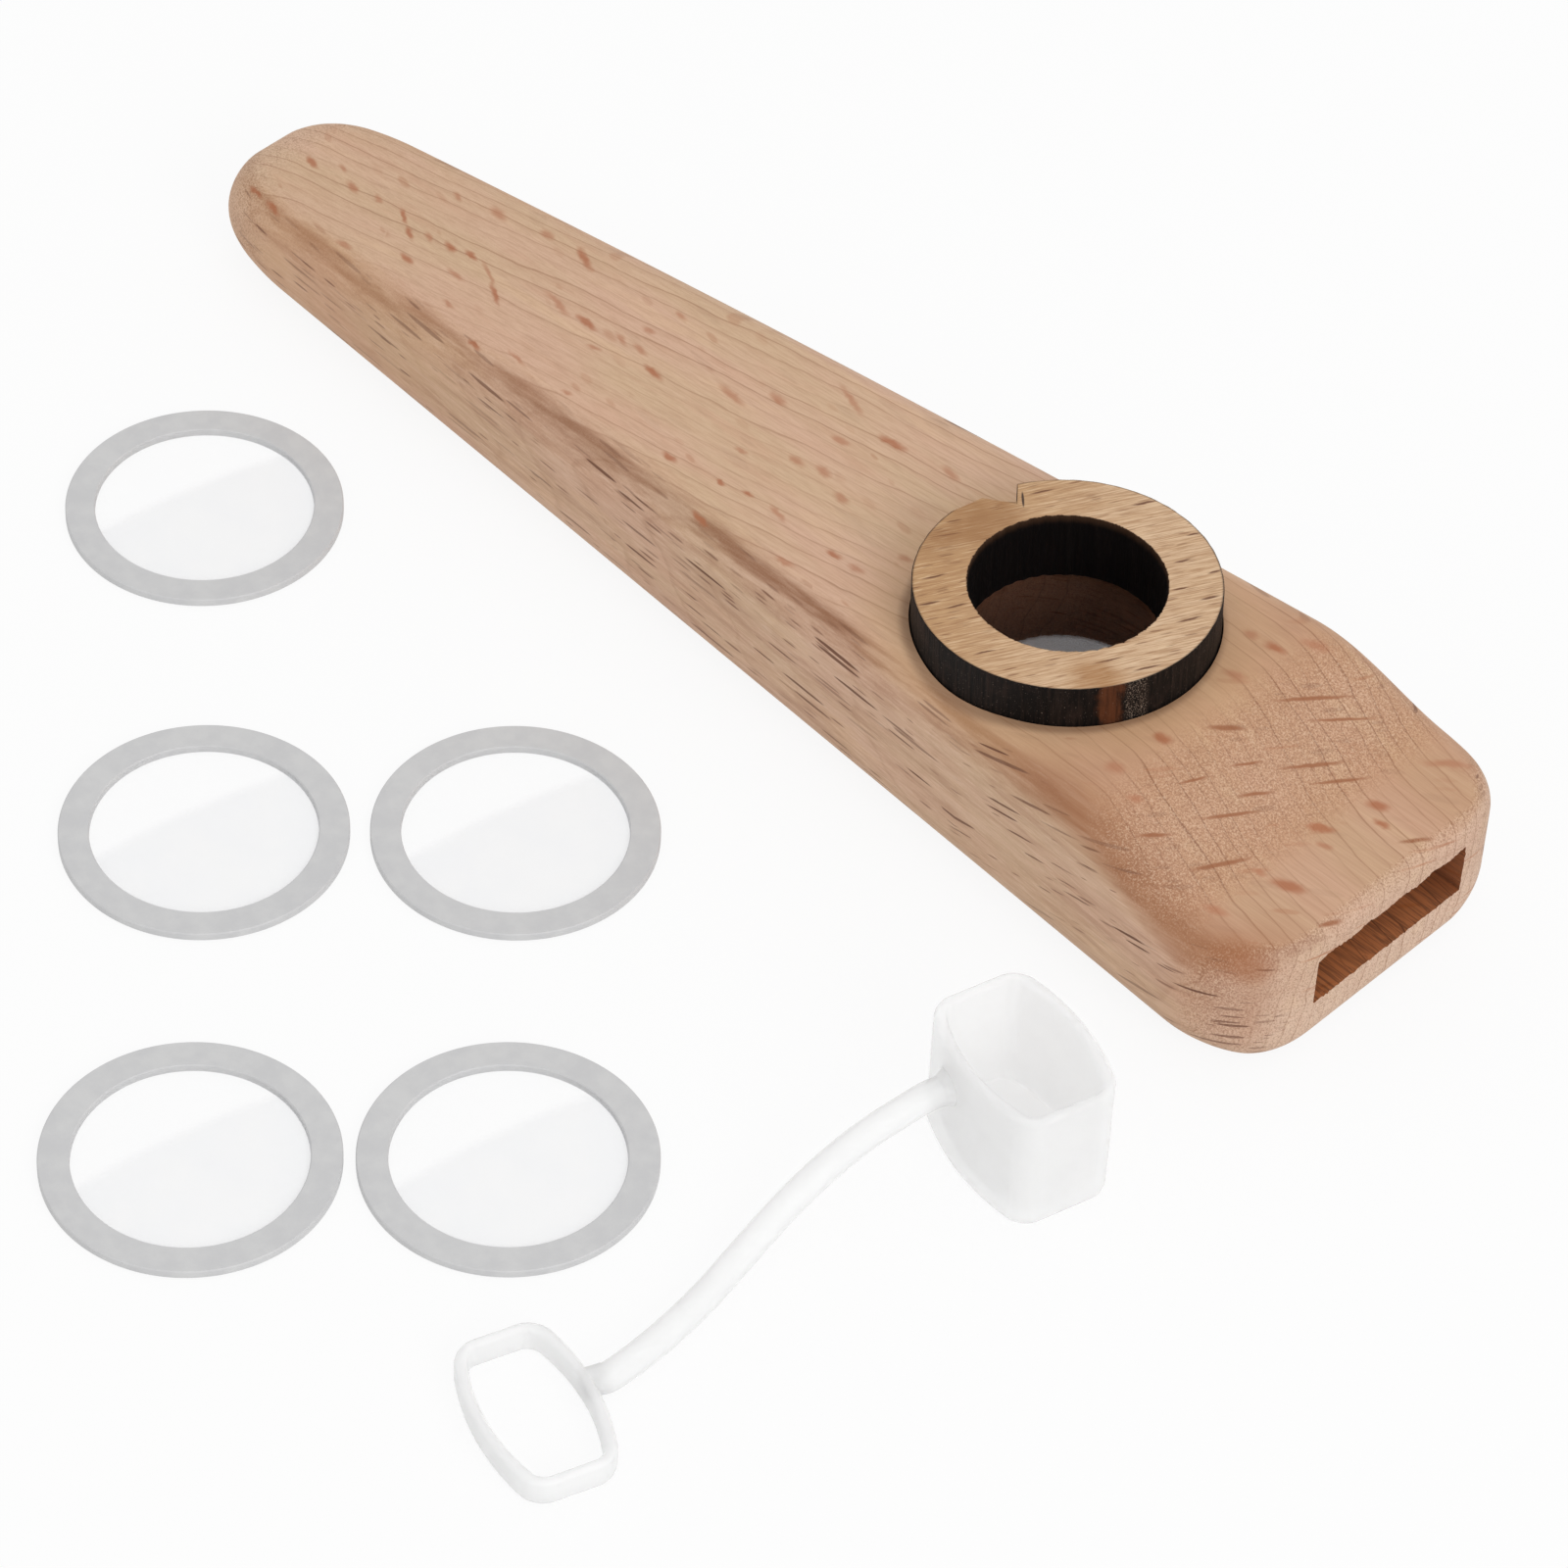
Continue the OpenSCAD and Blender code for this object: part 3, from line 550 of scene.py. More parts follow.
def board_material(name):
    """The ring's faces: yellowish board with fine dashes along its own grain and scorched patches."""
    material, n = new_material(name)
    place = n.place_mm()
    x, y, z = n.xyz(place)
    flat = n.scaled(place, 1, 1, 0)
    along_grain = {"Vector": place, "Angle": math.radians(-62.0)}
    turned = n.add("ShaderNodeVectorRotate", along_grain, rotation_type="Z_AXIS").outputs[0]
    radius = n.vector("LENGTH", flat)
    fibres = n.noise(n.scaled(turned, 0.35, 7.0, 2.0), detail=3.0, rough=0.65)
    bands = n.noise(n.scaled(turned, 0.06, 0.9, 0.3))
    wander = n.drift(place, 1.2, 2.0, (0.6, 0.12, 0.0))
    distance, tone = n.cells(n.scaled(n.vector("ADD", turned, wander), 1 / 1.7, 1 / 0.22, 1 / 9.0))
    thin = n.times(n.smooth(distance, 0.42, 0.18), n.math("GREATER_THAN", tone[0], 0.5))
    thin = n.times(thin, n.smooth(tone[1], 0.2, 1.0, 0.35, 1.0))
    dash = n.smooth(n.marks(n.plan(place, n.scaled(wander, 0.3, 0.8, 0.0)), RING_DASHES), 1.25, 0.45)

    lit = n.smooth(n.plus(x, n.times(y, 0.5)), -12.0, 6.0)
    n.base = n.blend(lit, srgb(190, 150, 107), srgb(219, 187, 153))
    n.paint(n.smooth(bands, 0.3, 0.7, 0.0, 0.3), 190, 148, 104)
    n.paint(n.smooth(fibres, 0.42, 0.62, 0.0, 0.62), 162, 118, 80)
    n.paint(n.smooth(fibres, 0.44, 0.34, 0.0, 0.55), 228, 198, 162)
    n.paint(n.times(thin, 0.7), 122, 80, 52)
    n.paint(n.times(dash, 0.92), 104, 64, 42)
    patchy = n.smooth(n.noise(n.scaled(place, 0.3, 0.3, 0.3), detail=3.0), 0.36, 0.58, 0.55, 1.0)
    for middle, outer, inner, share, color in SCORCHED:
        scorch = n.smooth(n.vector("DISTANCE", flat, middle), outer, inner)
        n.paint(n.times(scorch, patchy, share), *color)
    rim = n.plus(n.smooth(radius, RING_RADIUS - 0.22, RING_RADIUS - 0.02),
                 n.smooth(radius, RING_HOLE + 0.16, RING_HOLE + 0.02, 0.0, 0.45))
    n.paint(n.times(rim, 0.8), 58, 36, 24)
    cut = n.smooth(n.marks(n.vector("ADD", flat, (0, 0, 1)), CHIP_CUT), 1.1, 0.6)
    n.paint(n.times(cut, 0.92), 48, 30, 22)
    n.finish(principled(n, n.base, 0.6, n.bump(fibres, 0.3, 0.0001), Specular_IOR_Level=0.3))
    return material


def hoop_material():
    material, n = new_material("hoop_grey")
    place = n.place_mm()
    cloud = n.noise(n.scaled(place, 0.5, 0.5, 0.5), detail=3.0, rough=0.6)
    grit = n.noise(n.scaled(place, 9, 9, 9))
    n.base = n.blend(n.smooth(cloud, 0.3, 0.7), srgb(200, 200, 201), srgb(207, 207, 207))
    n.finish(principled(n, n.base, 0.5, n.bump(grit, 0.15, 0.00006), Specular_IOR_Level=0.35))
    return material


# A spare film's painted reflection changes along an arc round this point, from one share to another
ARC_CENTRE, ARC_INNER, ARC_OUTER = (63.2, -13.2, 0.0), 66.4, 67.5
SHEEN_INSIDE, SHEEN_OUTSIDE, SHEEN_FITTED = 0.2, 0.03, 0.075


def film_material(name, spare):
    """Clear stretched film: a faint mirror over the dark chamber, and on a spare a pale painted reflection
    over the floor, strongest inside an arc.
    """
    material, n = new_material(name)
    place = n.place_mm()
    creases = n.noise(n.scaled(place, 0.25, 0.25, 0.25))
    color = n.blend(n.smooth(creases, 0.3, 0.7), srgb(238, 239, 242), srgb(243, 243, 244))
    share = SHEEN_FITTED
    if spare:
        # Painted reflection: the film paler inside the arc and clearer outside it
        arc = n.vector("DISTANCE", n.scaled(place, 1, 1, 0), ARC_CENTRE)
        share = n.smooth(arc, ARC_INNER, ARC_OUTER, SHEEN_INSIDE, SHEEN_OUTSIDE)
    inputs = {"Base Color": color, "Roughness": 0.04, "Metallic": 0.0 if spare else 1.0}
    film = n.add("ShaderNodeBsdfPrincipled", inputs).outputs[0]
    n.finish(n.two_shaders(share, n.add("ShaderNodeBsdfTransparent").outputs[0], film))
    return material


def silicone_material(name, solidity):
    """Milky silicone that lets some of what lies behind it through."""
    material, n = new_material(name)
    place = n.place_mm()
    cloud = n.noise(n.scaled(place, 0.3, 0.3, 0.3), detail=3.0)
    grit = n.noise(n.scaled(place, 4, 4, 4), detail=3.0, rough=0.6)
    n.base = n.blend(n.smooth(cloud, 0.3, 0.7), srgb(251, 251, 251), srgb(254, 254, 254))
    shader = principled(n, n.base, n.smooth(cloud, 0.2, 0.8, 0.42, 0.52), n.bump(grit, 0.06, 0.0001),
                        Subsurface_Weight=0.5, Subsurface_Scale=0.002, Subsurface_Radius=(1.0, 1.0, 1.0),
                        Specular_IOR_Level=0.25)
    n.finish(n.two_shaders(solidity, n.add("ShaderNodeBsdfTransparent").outputs[0], shader))
    return material


BEECH = beech_material("beech")
BEECH_CUT = beech_material("beech_cut", cut=0.92)
# Cut wood with painted shade, for the chamber and the bore
BEECH_PAINTED_SHADE = beech_material("beech_painted_shade", cut=0.5, dark=0.62)
BOARD, BURNT = board_material("ring_board"), burnt_material("ring_burnt")
HOOP = hoop_material()
FILM, FILM_SPARE = film_material("film_fitted", False), film_material("film_spare", True)
SILICONE = silicone_material("silicone_band", 0.55)
SILICONE_WALL = silicone_material("silicone_wall", 0.35)


# The tether, a round silicone cord
def turned(x, y, heading):
    c, s = math.cos(math.radians(heading)), math.sin(math.radians(heading))
    return x * c - y * s, x * s + y * c


def bowed_reach(length, width, x):
    return width / 2 + CAP_BOW * (1 - 4 * x * x / (length * length))


def placed(place, heading, x, y, z):
    tx, ty = turned(x, y, heading)
    return Vector((place[0] + tx, place[1] + ty, z))


# Where the tether's axis meets the sides of cap and loop, in their own frames
CAP_ROOT_X, CAP_ROOT_Z = -0.15 * CAP_LENGTH, 0.66 * CAP_HEIGHT
LOOP_ROOT_X, LOOP_ROOT_Z = -0.06 * LOOP_LENGTH, LOOP_HEIGHT / 2
cap_reach = bowed_reach(CAP_LENGTH, CAP_WIDTH, CAP_ROOT_X) + ROOT_LENGTH
loop_reach = bowed_reach(LOOP_LENGTH, LOOP_WIDTH, LOOP_ROOT_X) + ROOT_LENGTH
tether_from = placed(CAP_PLACE, CAP_HEADING, CAP_ROOT_X, -cap_reach, CAP_ROOT_Z)
tether_to = placed(LOOP_PLACE, LOOP_HEADING, LOOP_ROOT_X, loop_reach, LOOP_ROOT_Z)
cap_out = Vector((*turned(0, -1, CAP_HEADING), 0))
loop_out = Vector((*turned(0, 1, LOOP_HEADING), 0))
TETHER_POINTS = [(19.65, -38, 6.8), (18.75, -41.2, 5.7), (18.05, -44.6, 4.2), (17.75, -48.2, 2.7),
                 (17.95, -52, 1.6), (18.55, -56, 1.2), (19.05, -59.8, 1.2), (19.25, -63.2, 1.2)]
route = [tether_from, tether_from + cap_out * TETHER_RADIUS,
         *[Vector(p) for p in TETHER_POINTS], tether_to + loop_out * TETHER_RADIUS, tether_to]


def smooth_route(points, steps=6):
    """A Catmull-Rom line through the points."""
    out = []
    ends = [points[0] * 2 - points[1], *points, points[-1] * 2 - points[-2]]
    for a, b, c, d in zip(ends, ends[1:], ends[2:], ends[3:]):
        for k in range(steps):
            t = k / steps
            out.append(0.5 * (2 * b + (c - a) * t + (2 * a - 5 * b + 4 * c - d) * t * t
                              + (3 * b - 3 * c + d - a) * t ** 3))
    return [*out, points[-1]]


tether_line = smooth_route(route)
curve = bpy.data.curves.new("tether", "CURVE")
curve.dimensions = "3D"
curve.bevel_depth = TETHER_RADIUS * MM
curve.bevel_resolution = 8
curve.use_fill_caps = True
spline = curve.splines.new("POLY")
spline.points.add(len(tether_line) - 1)
for point, p in zip(spline.points, tether_line):
    point.co = (*(p * MM), 1.0)
spline.use_smooth = True
tether = bpy.data.objects.new("tether", curve)
bpy.context.scene.collection.objects.link(tether)
tether.data.materials.append(SILICONE)
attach(tether, "cap_set")
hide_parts("cap_tether")


# Kazoo body
def inward(distance, length, depth):
    """How far a rounded edge draws in at this distance from the end it rounds."""
    if distance >= length:
        return 0.0
    return depth * (1 - math.sqrt(max(0.0, 1 - ((length - distance) / length) ** 2)))


def tip_inward(x):
    return inward(x - TIP_X, TIP_EDGE_LENGTH, TIP_EDGE_DEPTH)


def top_z(x):
    if x <= SCOOP_X:
        z = top_line(x)
    elif x >= LIP_X:
        z = LIP_HEIGHT
    else:
        share = (x - SCOOP_X) / SCOOP_LENGTH
        z = mix(mix(TIP_HEIGHT, THICK_HEIGHT, taper_share(x)), LIP_HEIGHT, share * share * (3 - 2 * share))
    return z - inward(MOUTH_REACH - x, MOUTH_TOP, MOUTH_TOP) - tip_inward(x)


def bottom_z(x):
    return inward(MOUTH_REACH - x, MOUTH_BOTTOM, MOUTH_BOTTOM) + tip_inward(x)


def corner_drop(x):
    return inward(MOUTH_REACH - x, MOUTH_CORNER, MOUTH_CORNER)


def half_width(x):
    return (mix(TIP_WIDTH, MOUTH_WIDTH, (x - TIP_X) / BODY_LENGTH) / 2
            - corner_drop(x) - inward(x - TIP_X, TIP_CORNER_LENGTH, TIP_CORNER_DEPTH))


def long_edge(x, radius):
    """The radius of a long edge, which blends into that of the mouth's face."""
    room = min(half_width(x), (top_z(x) - bottom_z(x)) / 2)
    return min(mix(radius, MOUTH_FACE_RADIUS, corner_drop(x) / MOUTH_CORNER), 0.98 * room)


def body_section(x, arc_steps=14, flat_steps=26, side_steps=8):
    """The body's outline at x: four rounded corners, counter-clockwise from the far side's top one."""
    radii = long_edge(x, EDGE_RADIUS), long_edge(x, BOTTOM_EDGE_RADIUS)
    width, high, low = half_width(x), top_z(x), bottom_z(x)
    centres = [(width - radii[0], high - radii[0]), (radii[0] - width, high - radii[0]),
               (radii[1] - width, low + radii[1]), (width - radii[1], low + radii[1])]
    points = []
    for corner, (cy, cz) in enumerate(centres):
        r = radii[corner // 2]
        for step in range(arc_steps + 1):
            angle = math.radians(90 * (corner + step / arc_steps))
            points.append((x, cy + r * math.cos(angle), cz + r * math.sin(angle)))
        angle = math.radians(90 * (corner + 1))
        ny, nz, nr = *centres[(corner + 1) % 4], radii[(corner + 1) % 4 // 2]
        _, y, z = points[-1]
        end_y, end_z = ny + nr * math.cos(angle), nz + nr * math.sin(angle)
        count = flat_steps if corner % 2 == 0 else side_steps
        points += [(x, mix(y, end_y, k / count), mix(z, end_z, k / count)) for k in range(1, count)]
    return points


def body_stations(tip_steps=30, mouth_steps=44):
    """Where the sections stand along the body, closer together at its ends."""
    quarter = math.pi / 2
    tip = [TIP_X + TIP_CORNER_LENGTH * (1 - math.cos(quarter * k / tip_steps)) for k in range(tip_steps)]
    middle = list(np.linspace(TIP_X + TIP_CORNER_LENGTH, SCOOP_X, 100)[:-1])
    scoop = list(np.linspace(SCOOP_X, MOUTH_REACH - MOUTH_CORNER, 40)[:-1])
    turns = [quarter * k / mouth_steps for k in range(mouth_steps + 1)]
    return tip + middle + scoop + [MOUTH_REACH - MOUTH_CORNER * (1 - math.sin(turn)) for turn in turns]


body = loft("kazoo_body", [body_section(x) for x in body_stations()], sharp=50)
body.data.materials.append(BEECH)
body.data.materials.append(BEECH_CUT)


FRAY, TOOTH, WAVE_DEPTH, WAVE_TURNS = 0.055, 0.1, 0.1, 1.7


def slot_outline(x, torn):
    """The slot's outline at x, with its fibres torn where torn is above 0."""
    rng = np.random.default_rng(7)
    half, low, high = SLOT_WIDTH / 2, SLOT_FLOOR, SLOT_FLOOR + SLOT_HEIGHT
    across = np.linspace(-half, half, 84)
    up = np.linspace(low, high, 12)
    edge = [(y, low) for y in across[:-1]] + [(half, z) for z in up[:-1]]
    edge += [(y, high) for y in across[::-1][:-1]] + [(-half, z) for z in up[::-1][:-1]]
    points = []
    for y, z in edge:
        fray_z, fray_y = rng.normal(0, FRAY), rng.normal(0, FRAY)
        tooth = abs(rng.normal(0, TOOTH)) * torn
        if math.isclose(z, low):
            points.append((x, y, z - tooth * 0.9 + fray_z * torn * 0.3))
        elif math.isclose(z, high):
            points.append((x, y, z + (WAVE_DEPTH * math.sin(y * WAVE_TURNS) + fray_z) * torn))
        else:
            points.append((x, y + math.copysign(abs(fray_y) * torn, y), z))
    return points


# Where the slot's outlines stand and how torn each is
SLOT_RINGS = [(0.0, 0.0), (29.0, 0.0), (30.3, 0.0), (31.0, 0.25), (31.5, 0.6),
              (MOUTH_REACH, 1.0), (36.0, 1.0)]
slot_cutter = loft("slot_cutter", [slot_outline(x, torn) for x, torn in SLOT_RINGS])
WELL_TOP = 4.0
well_profile = [(0.0, CHAMBER_FLOOR - TOP_AT_RING), (CHAMBER_RADIUS, CHAMBER_FLOOR - TOP_AT_RING),
                (CHAMBER_RADIUS, -HOOP_SEAT), (HOOP_RADIUS + HOOP_CLEARANCE, -HOOP_SEAT),
                (HOOP_RADIUS + HOOP_CLEARANCE, -RING_SEAT), (RING_RADIUS + RING_CLEARANCE, -RING_SEAT),
                (RING_RADIUS + RING_CLEARANCE, WELL_TOP), (0.0, WELL_TOP)]


def solid_of_revolution(name, profile, steps):
    """A lathed solid whose profile starts and ends on the axis."""
    inner = profile[1:-1]
    points = [(r * math.cos(a), r * math.sin(a), z) for a in circle(steps) for r, z in inner]
    size = len(inner)
    faces = []
    for k in range(steps):
        a, b = k * size, (k + 1) % steps * size
        faces += [(a + j, b + j, b + j + 1, a + j + 1) for j in range(size - 1)]
    bottom, top = len(points), len(points) + 1
    points += [(0, 0, profile[0][1]), (0, 0, profile[-1][1])]
    for k in range(steps):
        a, b = k * size, (k + 1) % steps * size
        faces += [(bottom, b, a), (top, a + size - 1, b + size - 1)]
    return new_mesh(name, points, faces)


well_cutter = on_top_face(solid_of_revolution("well_cutter", well_profile, 160))
BORE_FROM, BORE_TO, BORE_HEIGHT = -96.0, -4.25, TIP_HEIGHT / 2
bore_rings = [[(x, BORE_RADIUS * math.cos(a), BORE_HEIGHT + BORE_RADIUS * math.sin(a)) for a in circle(72)]
              for x in (BORE_FROM, BORE_TO)]
bore_cutter = loft("bore_cutter", bore_rings)
for cutter, wood in ((well_cutter, BEECH_PAINTED_SHADE), (slot_cutter, BEECH_CUT), (bore_cutter, BEECH_PAINTED_SHADE)):
    cutter.data.materials.append(wood)
    cut = body.modifiers.new(cutter.name, "BOOLEAN")
    cut.operation, cut.solver, cut.object, cut.material_mode = "DIFFERENCE", "EXACT", cutter, "TRANSFER"
depsgraph = bpy.context.evaluated_depsgraph_get()
hollowed = bpy.data.meshes.new_from_object(body.evaluated_get(depsgraph), depsgraph=depsgraph)
body.modifiers.clear()
body.data = hollowed
shade(hollowed, 40)
for cutter in (well_cutter, slot_cutter, bore_cutter):
    bpy.data.objects.remove(cutter)
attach(body, "kazoo")
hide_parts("body")


# Ring, which starts with the outline of its chip, seen from above
CHIP = [(-9.98, 5.35), (-8.53, 3.79), (-10.89, 2.47), (-11.51, -0.28)]


def chip_radius(angle):
    """The rim's radius where the chip is broken out, and the full radius elsewhere."""
    turn = math.degrees(angle) % 360
    radius = RING_RADIUS
    for (ax, ay), (bx, by) in zip(CHIP, CHIP[1:]):
        from_turn, to_turn = (math.degrees(math.atan2(y, x)) % 360 for x, y in ((ax, ay), (bx, by)))
        if from_turn <= turn <= to_turn:
            cross = math.cos(angle) * (by - ay) - math.sin(angle) * (bx - ax)
            radius = min(radius, (ax * (by - ay) - ay * (bx - ax)) / cross)
    return radius


rim_wobble, rim_teeth = wave(11, 8, 5, 60), wave(12, 14, 90, 260)
hole_wobble, hole_teeth = wave(13, 8, 5, 50), wave(14, 14, 60, 200)
RIM_WOBBLE, RIM_TEETH, HOLE_WOBBLE, HOLE_TEETH, TEETH_REACH = 0.012, 0.02, 0.03, 0.045, 0.35
RING_LOW, RING_HIGH, RING_MIDDLE = -RING_SEAT, RING_THICK - RING_SEAT, 9.2


def ring_radius(r, z, angle):
    """A radius of the ring with the chip, the laser's wobble and its small teeth near the top face."""
    near_top = max(0.0, 1 - (RING_HIGH - z) / TEETH_REACH)
    share = (r - RING_HOLE) / (RING_RADIUS - RING_HOLE)
    if r > RING_MIDDLE:
        rough = RIM_WOBBLE * rim_wobble(angle) - RIM_TEETH * near_top * abs(rim_teeth(angle))
        return r + (chip_radius(angle) - RING_RADIUS) * share ** 3 + share ** 6 * rough
    rough = HOLE_WOBBLE * hole_wobble(angle) + HOLE_TEETH * near_top * max(0.0, hole_teeth(angle))
    return r + (1 - share) ** 6 * rough


def steps_between(a, b, count):
    return [mix(a, b, k / count) for k in range(count)]


# The ring's section: up the outside, in over the top, down the hole and out below
BEVEL = 0.05
ring_profile = [(RING_RADIUS, z) for z in steps_between(RING_LOW, RING_HIGH - BEVEL, 14)]
ring_profile += [(RING_RADIUS, RING_HIGH - BEVEL), (RING_RADIUS - BEVEL, RING_HIGH)]
wall_count = len(ring_profile) - 1
ring_profile += [(r, RING_HIGH) for r in steps_between(RING_RADIUS - BEVEL, RING_HOLE + BEVEL, 16)[1:]]
ring_profile += [(RING_HOLE + BEVEL, RING_HIGH)]
top_count = len(ring_profile) - 1
ring_profile += [(RING_HOLE, z) for z in steps_between(RING_HIGH - BEVEL, RING_LOW, 14)]
ring_profile += [(RING_HOLE, RING_LOW)]
hole_count = len(ring_profile) - 1
ring_profile += [(r, RING_LOW) for r in steps_between(RING_HOLE, RING_RADIUS, 8)[1:]]
ring = on_top_face(spin("laser_cut_ring", ring_profile, steps=1080, sharp=40, radius_at=ring_radius))
ring.data.materials.append(BOARD)
ring.data.materials.append(BURNT)
# The board shows on top and below, and both walls are burnt
size = len(ring_profile)
kinds = [0 if wall_count <= j < top_count or j >= hole_count else 1 for j in range(size)]
ring.data.polygons.foreach_set("material_index", [kinds[k % size] for k in range(len(ring.data.polygons))])
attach(ring, "ring")
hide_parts("membrane_ring")


# Membranes
def make_hoop(name):
    inner, bevel = HOOP_RADIUS - HOOP_BAND, 0.08
    profile = [(HOOP_RADIUS - bevel, 0), (HOOP_RADIUS, bevel), (HOOP_RADIUS, HOOP_THICK - bevel),
               (HOOP_RADIUS - bevel, HOOP_THICK), (inner + bevel, HOOP_THICK), (inner, HOOP_THICK - bevel),
               (inner, bevel), (inner + bevel, 0)]
    obj = spin(name, profile, steps=160, sharp=30)
    obj.data.materials.append(HOOP)
    return obj


def make_film(name, material, bulge=0.0, steps=24):
    """A disc gripped in the hoop at mid height, its middle raised by the bulge."""
    radius, low = HOOP_RADIUS - HOOP_BAND + FILM_GRIP, (HOOP_THICK - FILM_THICK) / 2
    shares = [k / steps for k in range(steps + 1)]
    profile = [(radius * share, low + bulge * (1 - share ** 2)) for share in shares]
    profile += [(r, z + FILM_THICK) for r, z in reversed(profile)]
    obj = solid_of_revolution(name, profile, 128)
    obj.data.materials.append(material)
    return obj


for obj, node, slot in ((make_hoop("fitted_membrane_hoop"), "fitted_hoop", "hoop_plastic"),
                        (make_film("fitted_membrane_film", FILM, bulge=0.22), "fitted_film", "clear_film")):
    on_top_face(obj, HOOP_SEAT)
    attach(obj, "fitted_membrane")
    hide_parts(node)

for index, (px, py) in enumerate(SPARES, 1):
    hoop, film = make_hoop(f"membrane_{index}_hoop"), make_film(f"membrane_{index}_film", FILM_SPARE)
    for obj, node, slot in ((hoop, f"spare_hoop_{index}", "hoop_plastic"),
                            (film, f"spare_film_{index}", "clear_film")):
        obj.matrix_world = Matrix.Translation((px * MM, py * MM, 0))
        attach(obj, f"spare_{index}")
        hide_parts(node)


# Silicone cap and loop
def bowed_outline(length, width, inset, z, corner_steps=10, long_steps=18, short_steps=8):
    """A rounded box with bowed long sides, drawn in by inset, counter-clockwise."""
    a, b = length / 2 - inset, width / 2 - inset
    r = max(CAP_CORNER - inset, CAP_WALL / 2)
    points = []
    for corner in range(4):
        cx, cy = (a - r if corner in (0, 3) else r - a), (b - r if corner < 2 else r - b)
        for step in range(corner_steps + 1):
            angle = math.radians(90 * (corner + step / corner_steps))
            points.append((cx + r * math.cos(angle), cy + r * math.sin(angle)))
        way = 1 if corner < 2 else -1
        if corner in (0, 2):
            points += [(way * (a - r) * (1 - 2 * k / long_steps), way * b) for k in range(1, long_steps)]
        else:
            points += [(-way * a, way * (b - r) * (1 - 2 * k / short_steps)) for k in range(1, short_steps)]
    return [(x, y * (1 + CAP_BOW / b * (1 - x * x / (a * a))), z) for x, y in points]


FLARE_LENGTH, FLARE_TIP, FLARE_SUNK, FLARE_CURVE = 1.5, 1.08, 0.35, 2.4


def root_flare(name, root, direction, base, steps=9):
    """The small moulded fillet where the tether leaves a side, from radius base to FLARE_TIP."""
    start = root - direction * (ROOT_LENGTH + FLARE_SUNK)
    side = direction.cross(Vector((0, 0, 1))).normalized()
    up = direction.cross(side)
    rings = []
    for k in range(steps + 1):
        share = k / steps
        r = FLARE_TIP + (base - FLARE_TIP) * (1 - share) ** FLARE_CURVE
        centre = start + direction * (FLARE_LENGTH * share)
        rings.append([centre + side * (r * math.cos(a)) + up * (r * math.sin(a)) for a in circle(40)])
    obj = loft(name, rings, sharp=60)
    obj.data.materials.append(SILICONE)
    return obj


# The wall's section as (inset, z): round the bottom, up the outside, over the rim, down and across inside
RIM, HOLLOW = CAP_WALL / 2, CAP_BOTTOM - CAP_WALL
quarter_turn, half_turn = np.linspace(0, math.pi / 2, 9), np.linspace(0, math.pi, 11)
wall_shares = [k / 16 for k in range(1, 16)]
wall = [(CAP_BOTTOM * (1 - math.sin(t)), CAP_BOTTOM * (1 - math.cos(t))) for t in quarter_turn]
wall += [(0.0, mix(CAP_BOTTOM, CAP_HEIGHT - RIM, share)) for share in wall_shares]
wall += [(RIM * (1 - math.cos(t)), CAP_HEIGHT - RIM + RIM * math.sin(t)) for t in half_turn]
wall += [(CAP_WALL, mix(CAP_HEIGHT - RIM, CAP_WALL + HOLLOW, share)) for share in wall_shares]
wall += [(CAP_WALL + HOLLOW * (1 - math.cos(t)), CAP_WALL + HOLLOW * (1 - math.sin(t)))
         for t in quarter_turn]
cap = loft("silicone_cap", [bowed_outline(CAP_LENGTH, CAP_WIDTH, i, z) for i, z in wall], sharp=60)
band = [(RIM * (1 - math.cos(t)), LOOP_HEIGHT - RIM + RIM * math.sin(t)) for t in half_turn]
band += [(RIM * (1 + math.cos(t)), RIM - RIM * math.sin(t)) for t in half_turn]
band_rings = [bowed_outline(LOOP_LENGTH, LOOP_WIDTH, i, z) for i, z in band]
loop = loft("silicone_loop", band_rings, closed=True, sharp=60)
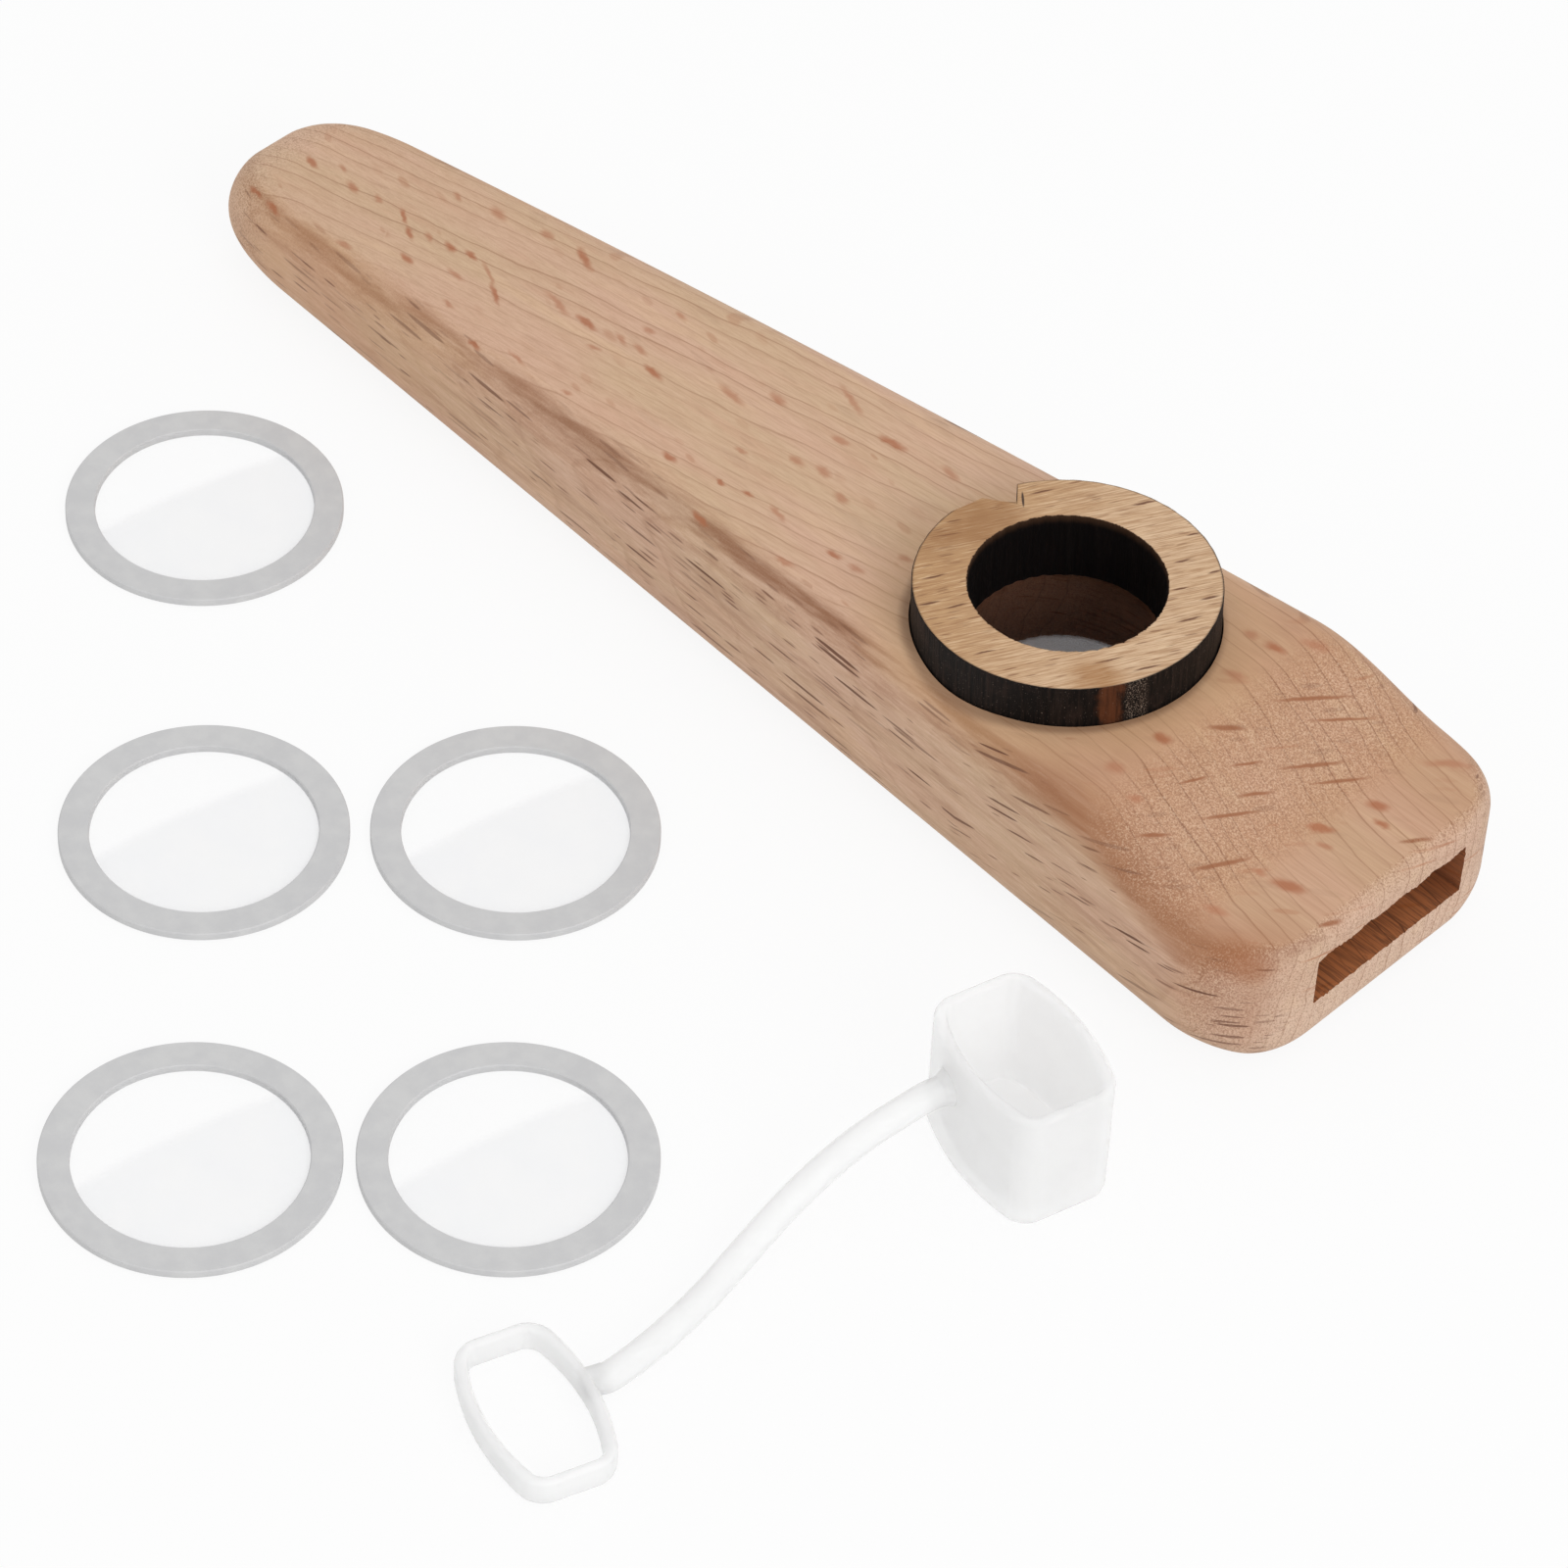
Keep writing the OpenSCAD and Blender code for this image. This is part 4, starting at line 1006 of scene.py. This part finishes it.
for obj, place, heading, node, material in ((cap, CAP_PLACE, CAP_HEADING, "tip_cap", SILICONE_WALL),
                                            (loop, LOOP_PLACE, LOOP_HEADING, "cap_loop", SILICONE)):
    obj.data.materials.append(material)
    obj.matrix_world = (Matrix.Translation((place[0] * MM, place[1] * MM, 0))
                        @ Matrix.Rotation(math.radians(heading), 4, "Z"))
    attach(obj, "cap_set")
    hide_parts(node)
for obj in (root_flare("tether_root_cap", tether_from, cap_out, base=1.62),
            root_flare("tether_root_loop", tether_to, loop_out, base=1.18)):
    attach(obj, "cap_set")


# Floor, light and world
FLOOR_DROP, FLOOR_GLOW, WORLD_LIGHT = 0.00005, 0.89, 0.76
bpy.ops.mesh.primitive_plane_add(size=6, location=(0, 0, -FLOOR_DROP))
floor = bpy.context.object
floor.name = "floor"
floor_material, n = new_material("floor_white")
diffuse = n.add("ShaderNodeBsdfDiffuse", {"Color": (0.86, 0.86, 0.86, 1)}).outputs[0]
glow = n.add("ShaderNodeEmission", {"Color": (1, 1, 1, 1), "Strength": 1.0}).outputs[0]
n.finish(n.two_shaders(n.times(n.seen_directly(), FLOOR_GLOW), diffuse, glow))
floor.data.materials.append(floor_material)

world = bpy.data.worlds.new("studio")
bpy.context.scene.world = world
world.use_nodes = True
n = Net(world.node_tree)
level = n.plus(n.times(n.seen_directly(), 1 - WORLD_LIGHT), WORLD_LIGHT)
background = n.add("ShaderNodeBackground", {"Color": (1, 1, 1, 1), "Strength": level})
n.add("ShaderNodeOutputWorld", {"Surface": background.outputs[0]})


LAMP_TARGET = Vector((-0.02, -0.01, 0.0))


def area_lamp(name, place, size, power):
    """A round lamp that points at the middle of the set, in metres and watts."""
    data = bpy.data.lights.new(name, "AREA")
    data.shape, data.size, data.energy = "DISK", size, power
    lamp = bpy.data.objects.new(name, data)
    bpy.context.scene.collection.objects.link(lamp)
    lamp.location = place
    lamp.rotation_mode = "QUATERNION"
    lamp.rotation_quaternion = (LAMP_TARGET - lamp.location).to_track_quat("-Z", "Y")


area_lamp("key_lamp", (0.75, -0.22, 0.5), size=0.5, power=2.6)
area_lamp("top_lamp", (-0.1, 0.3, 0.9), size=0.7, power=0.6)

bpy.context.scene.view_settings.view_transform = "Standard"
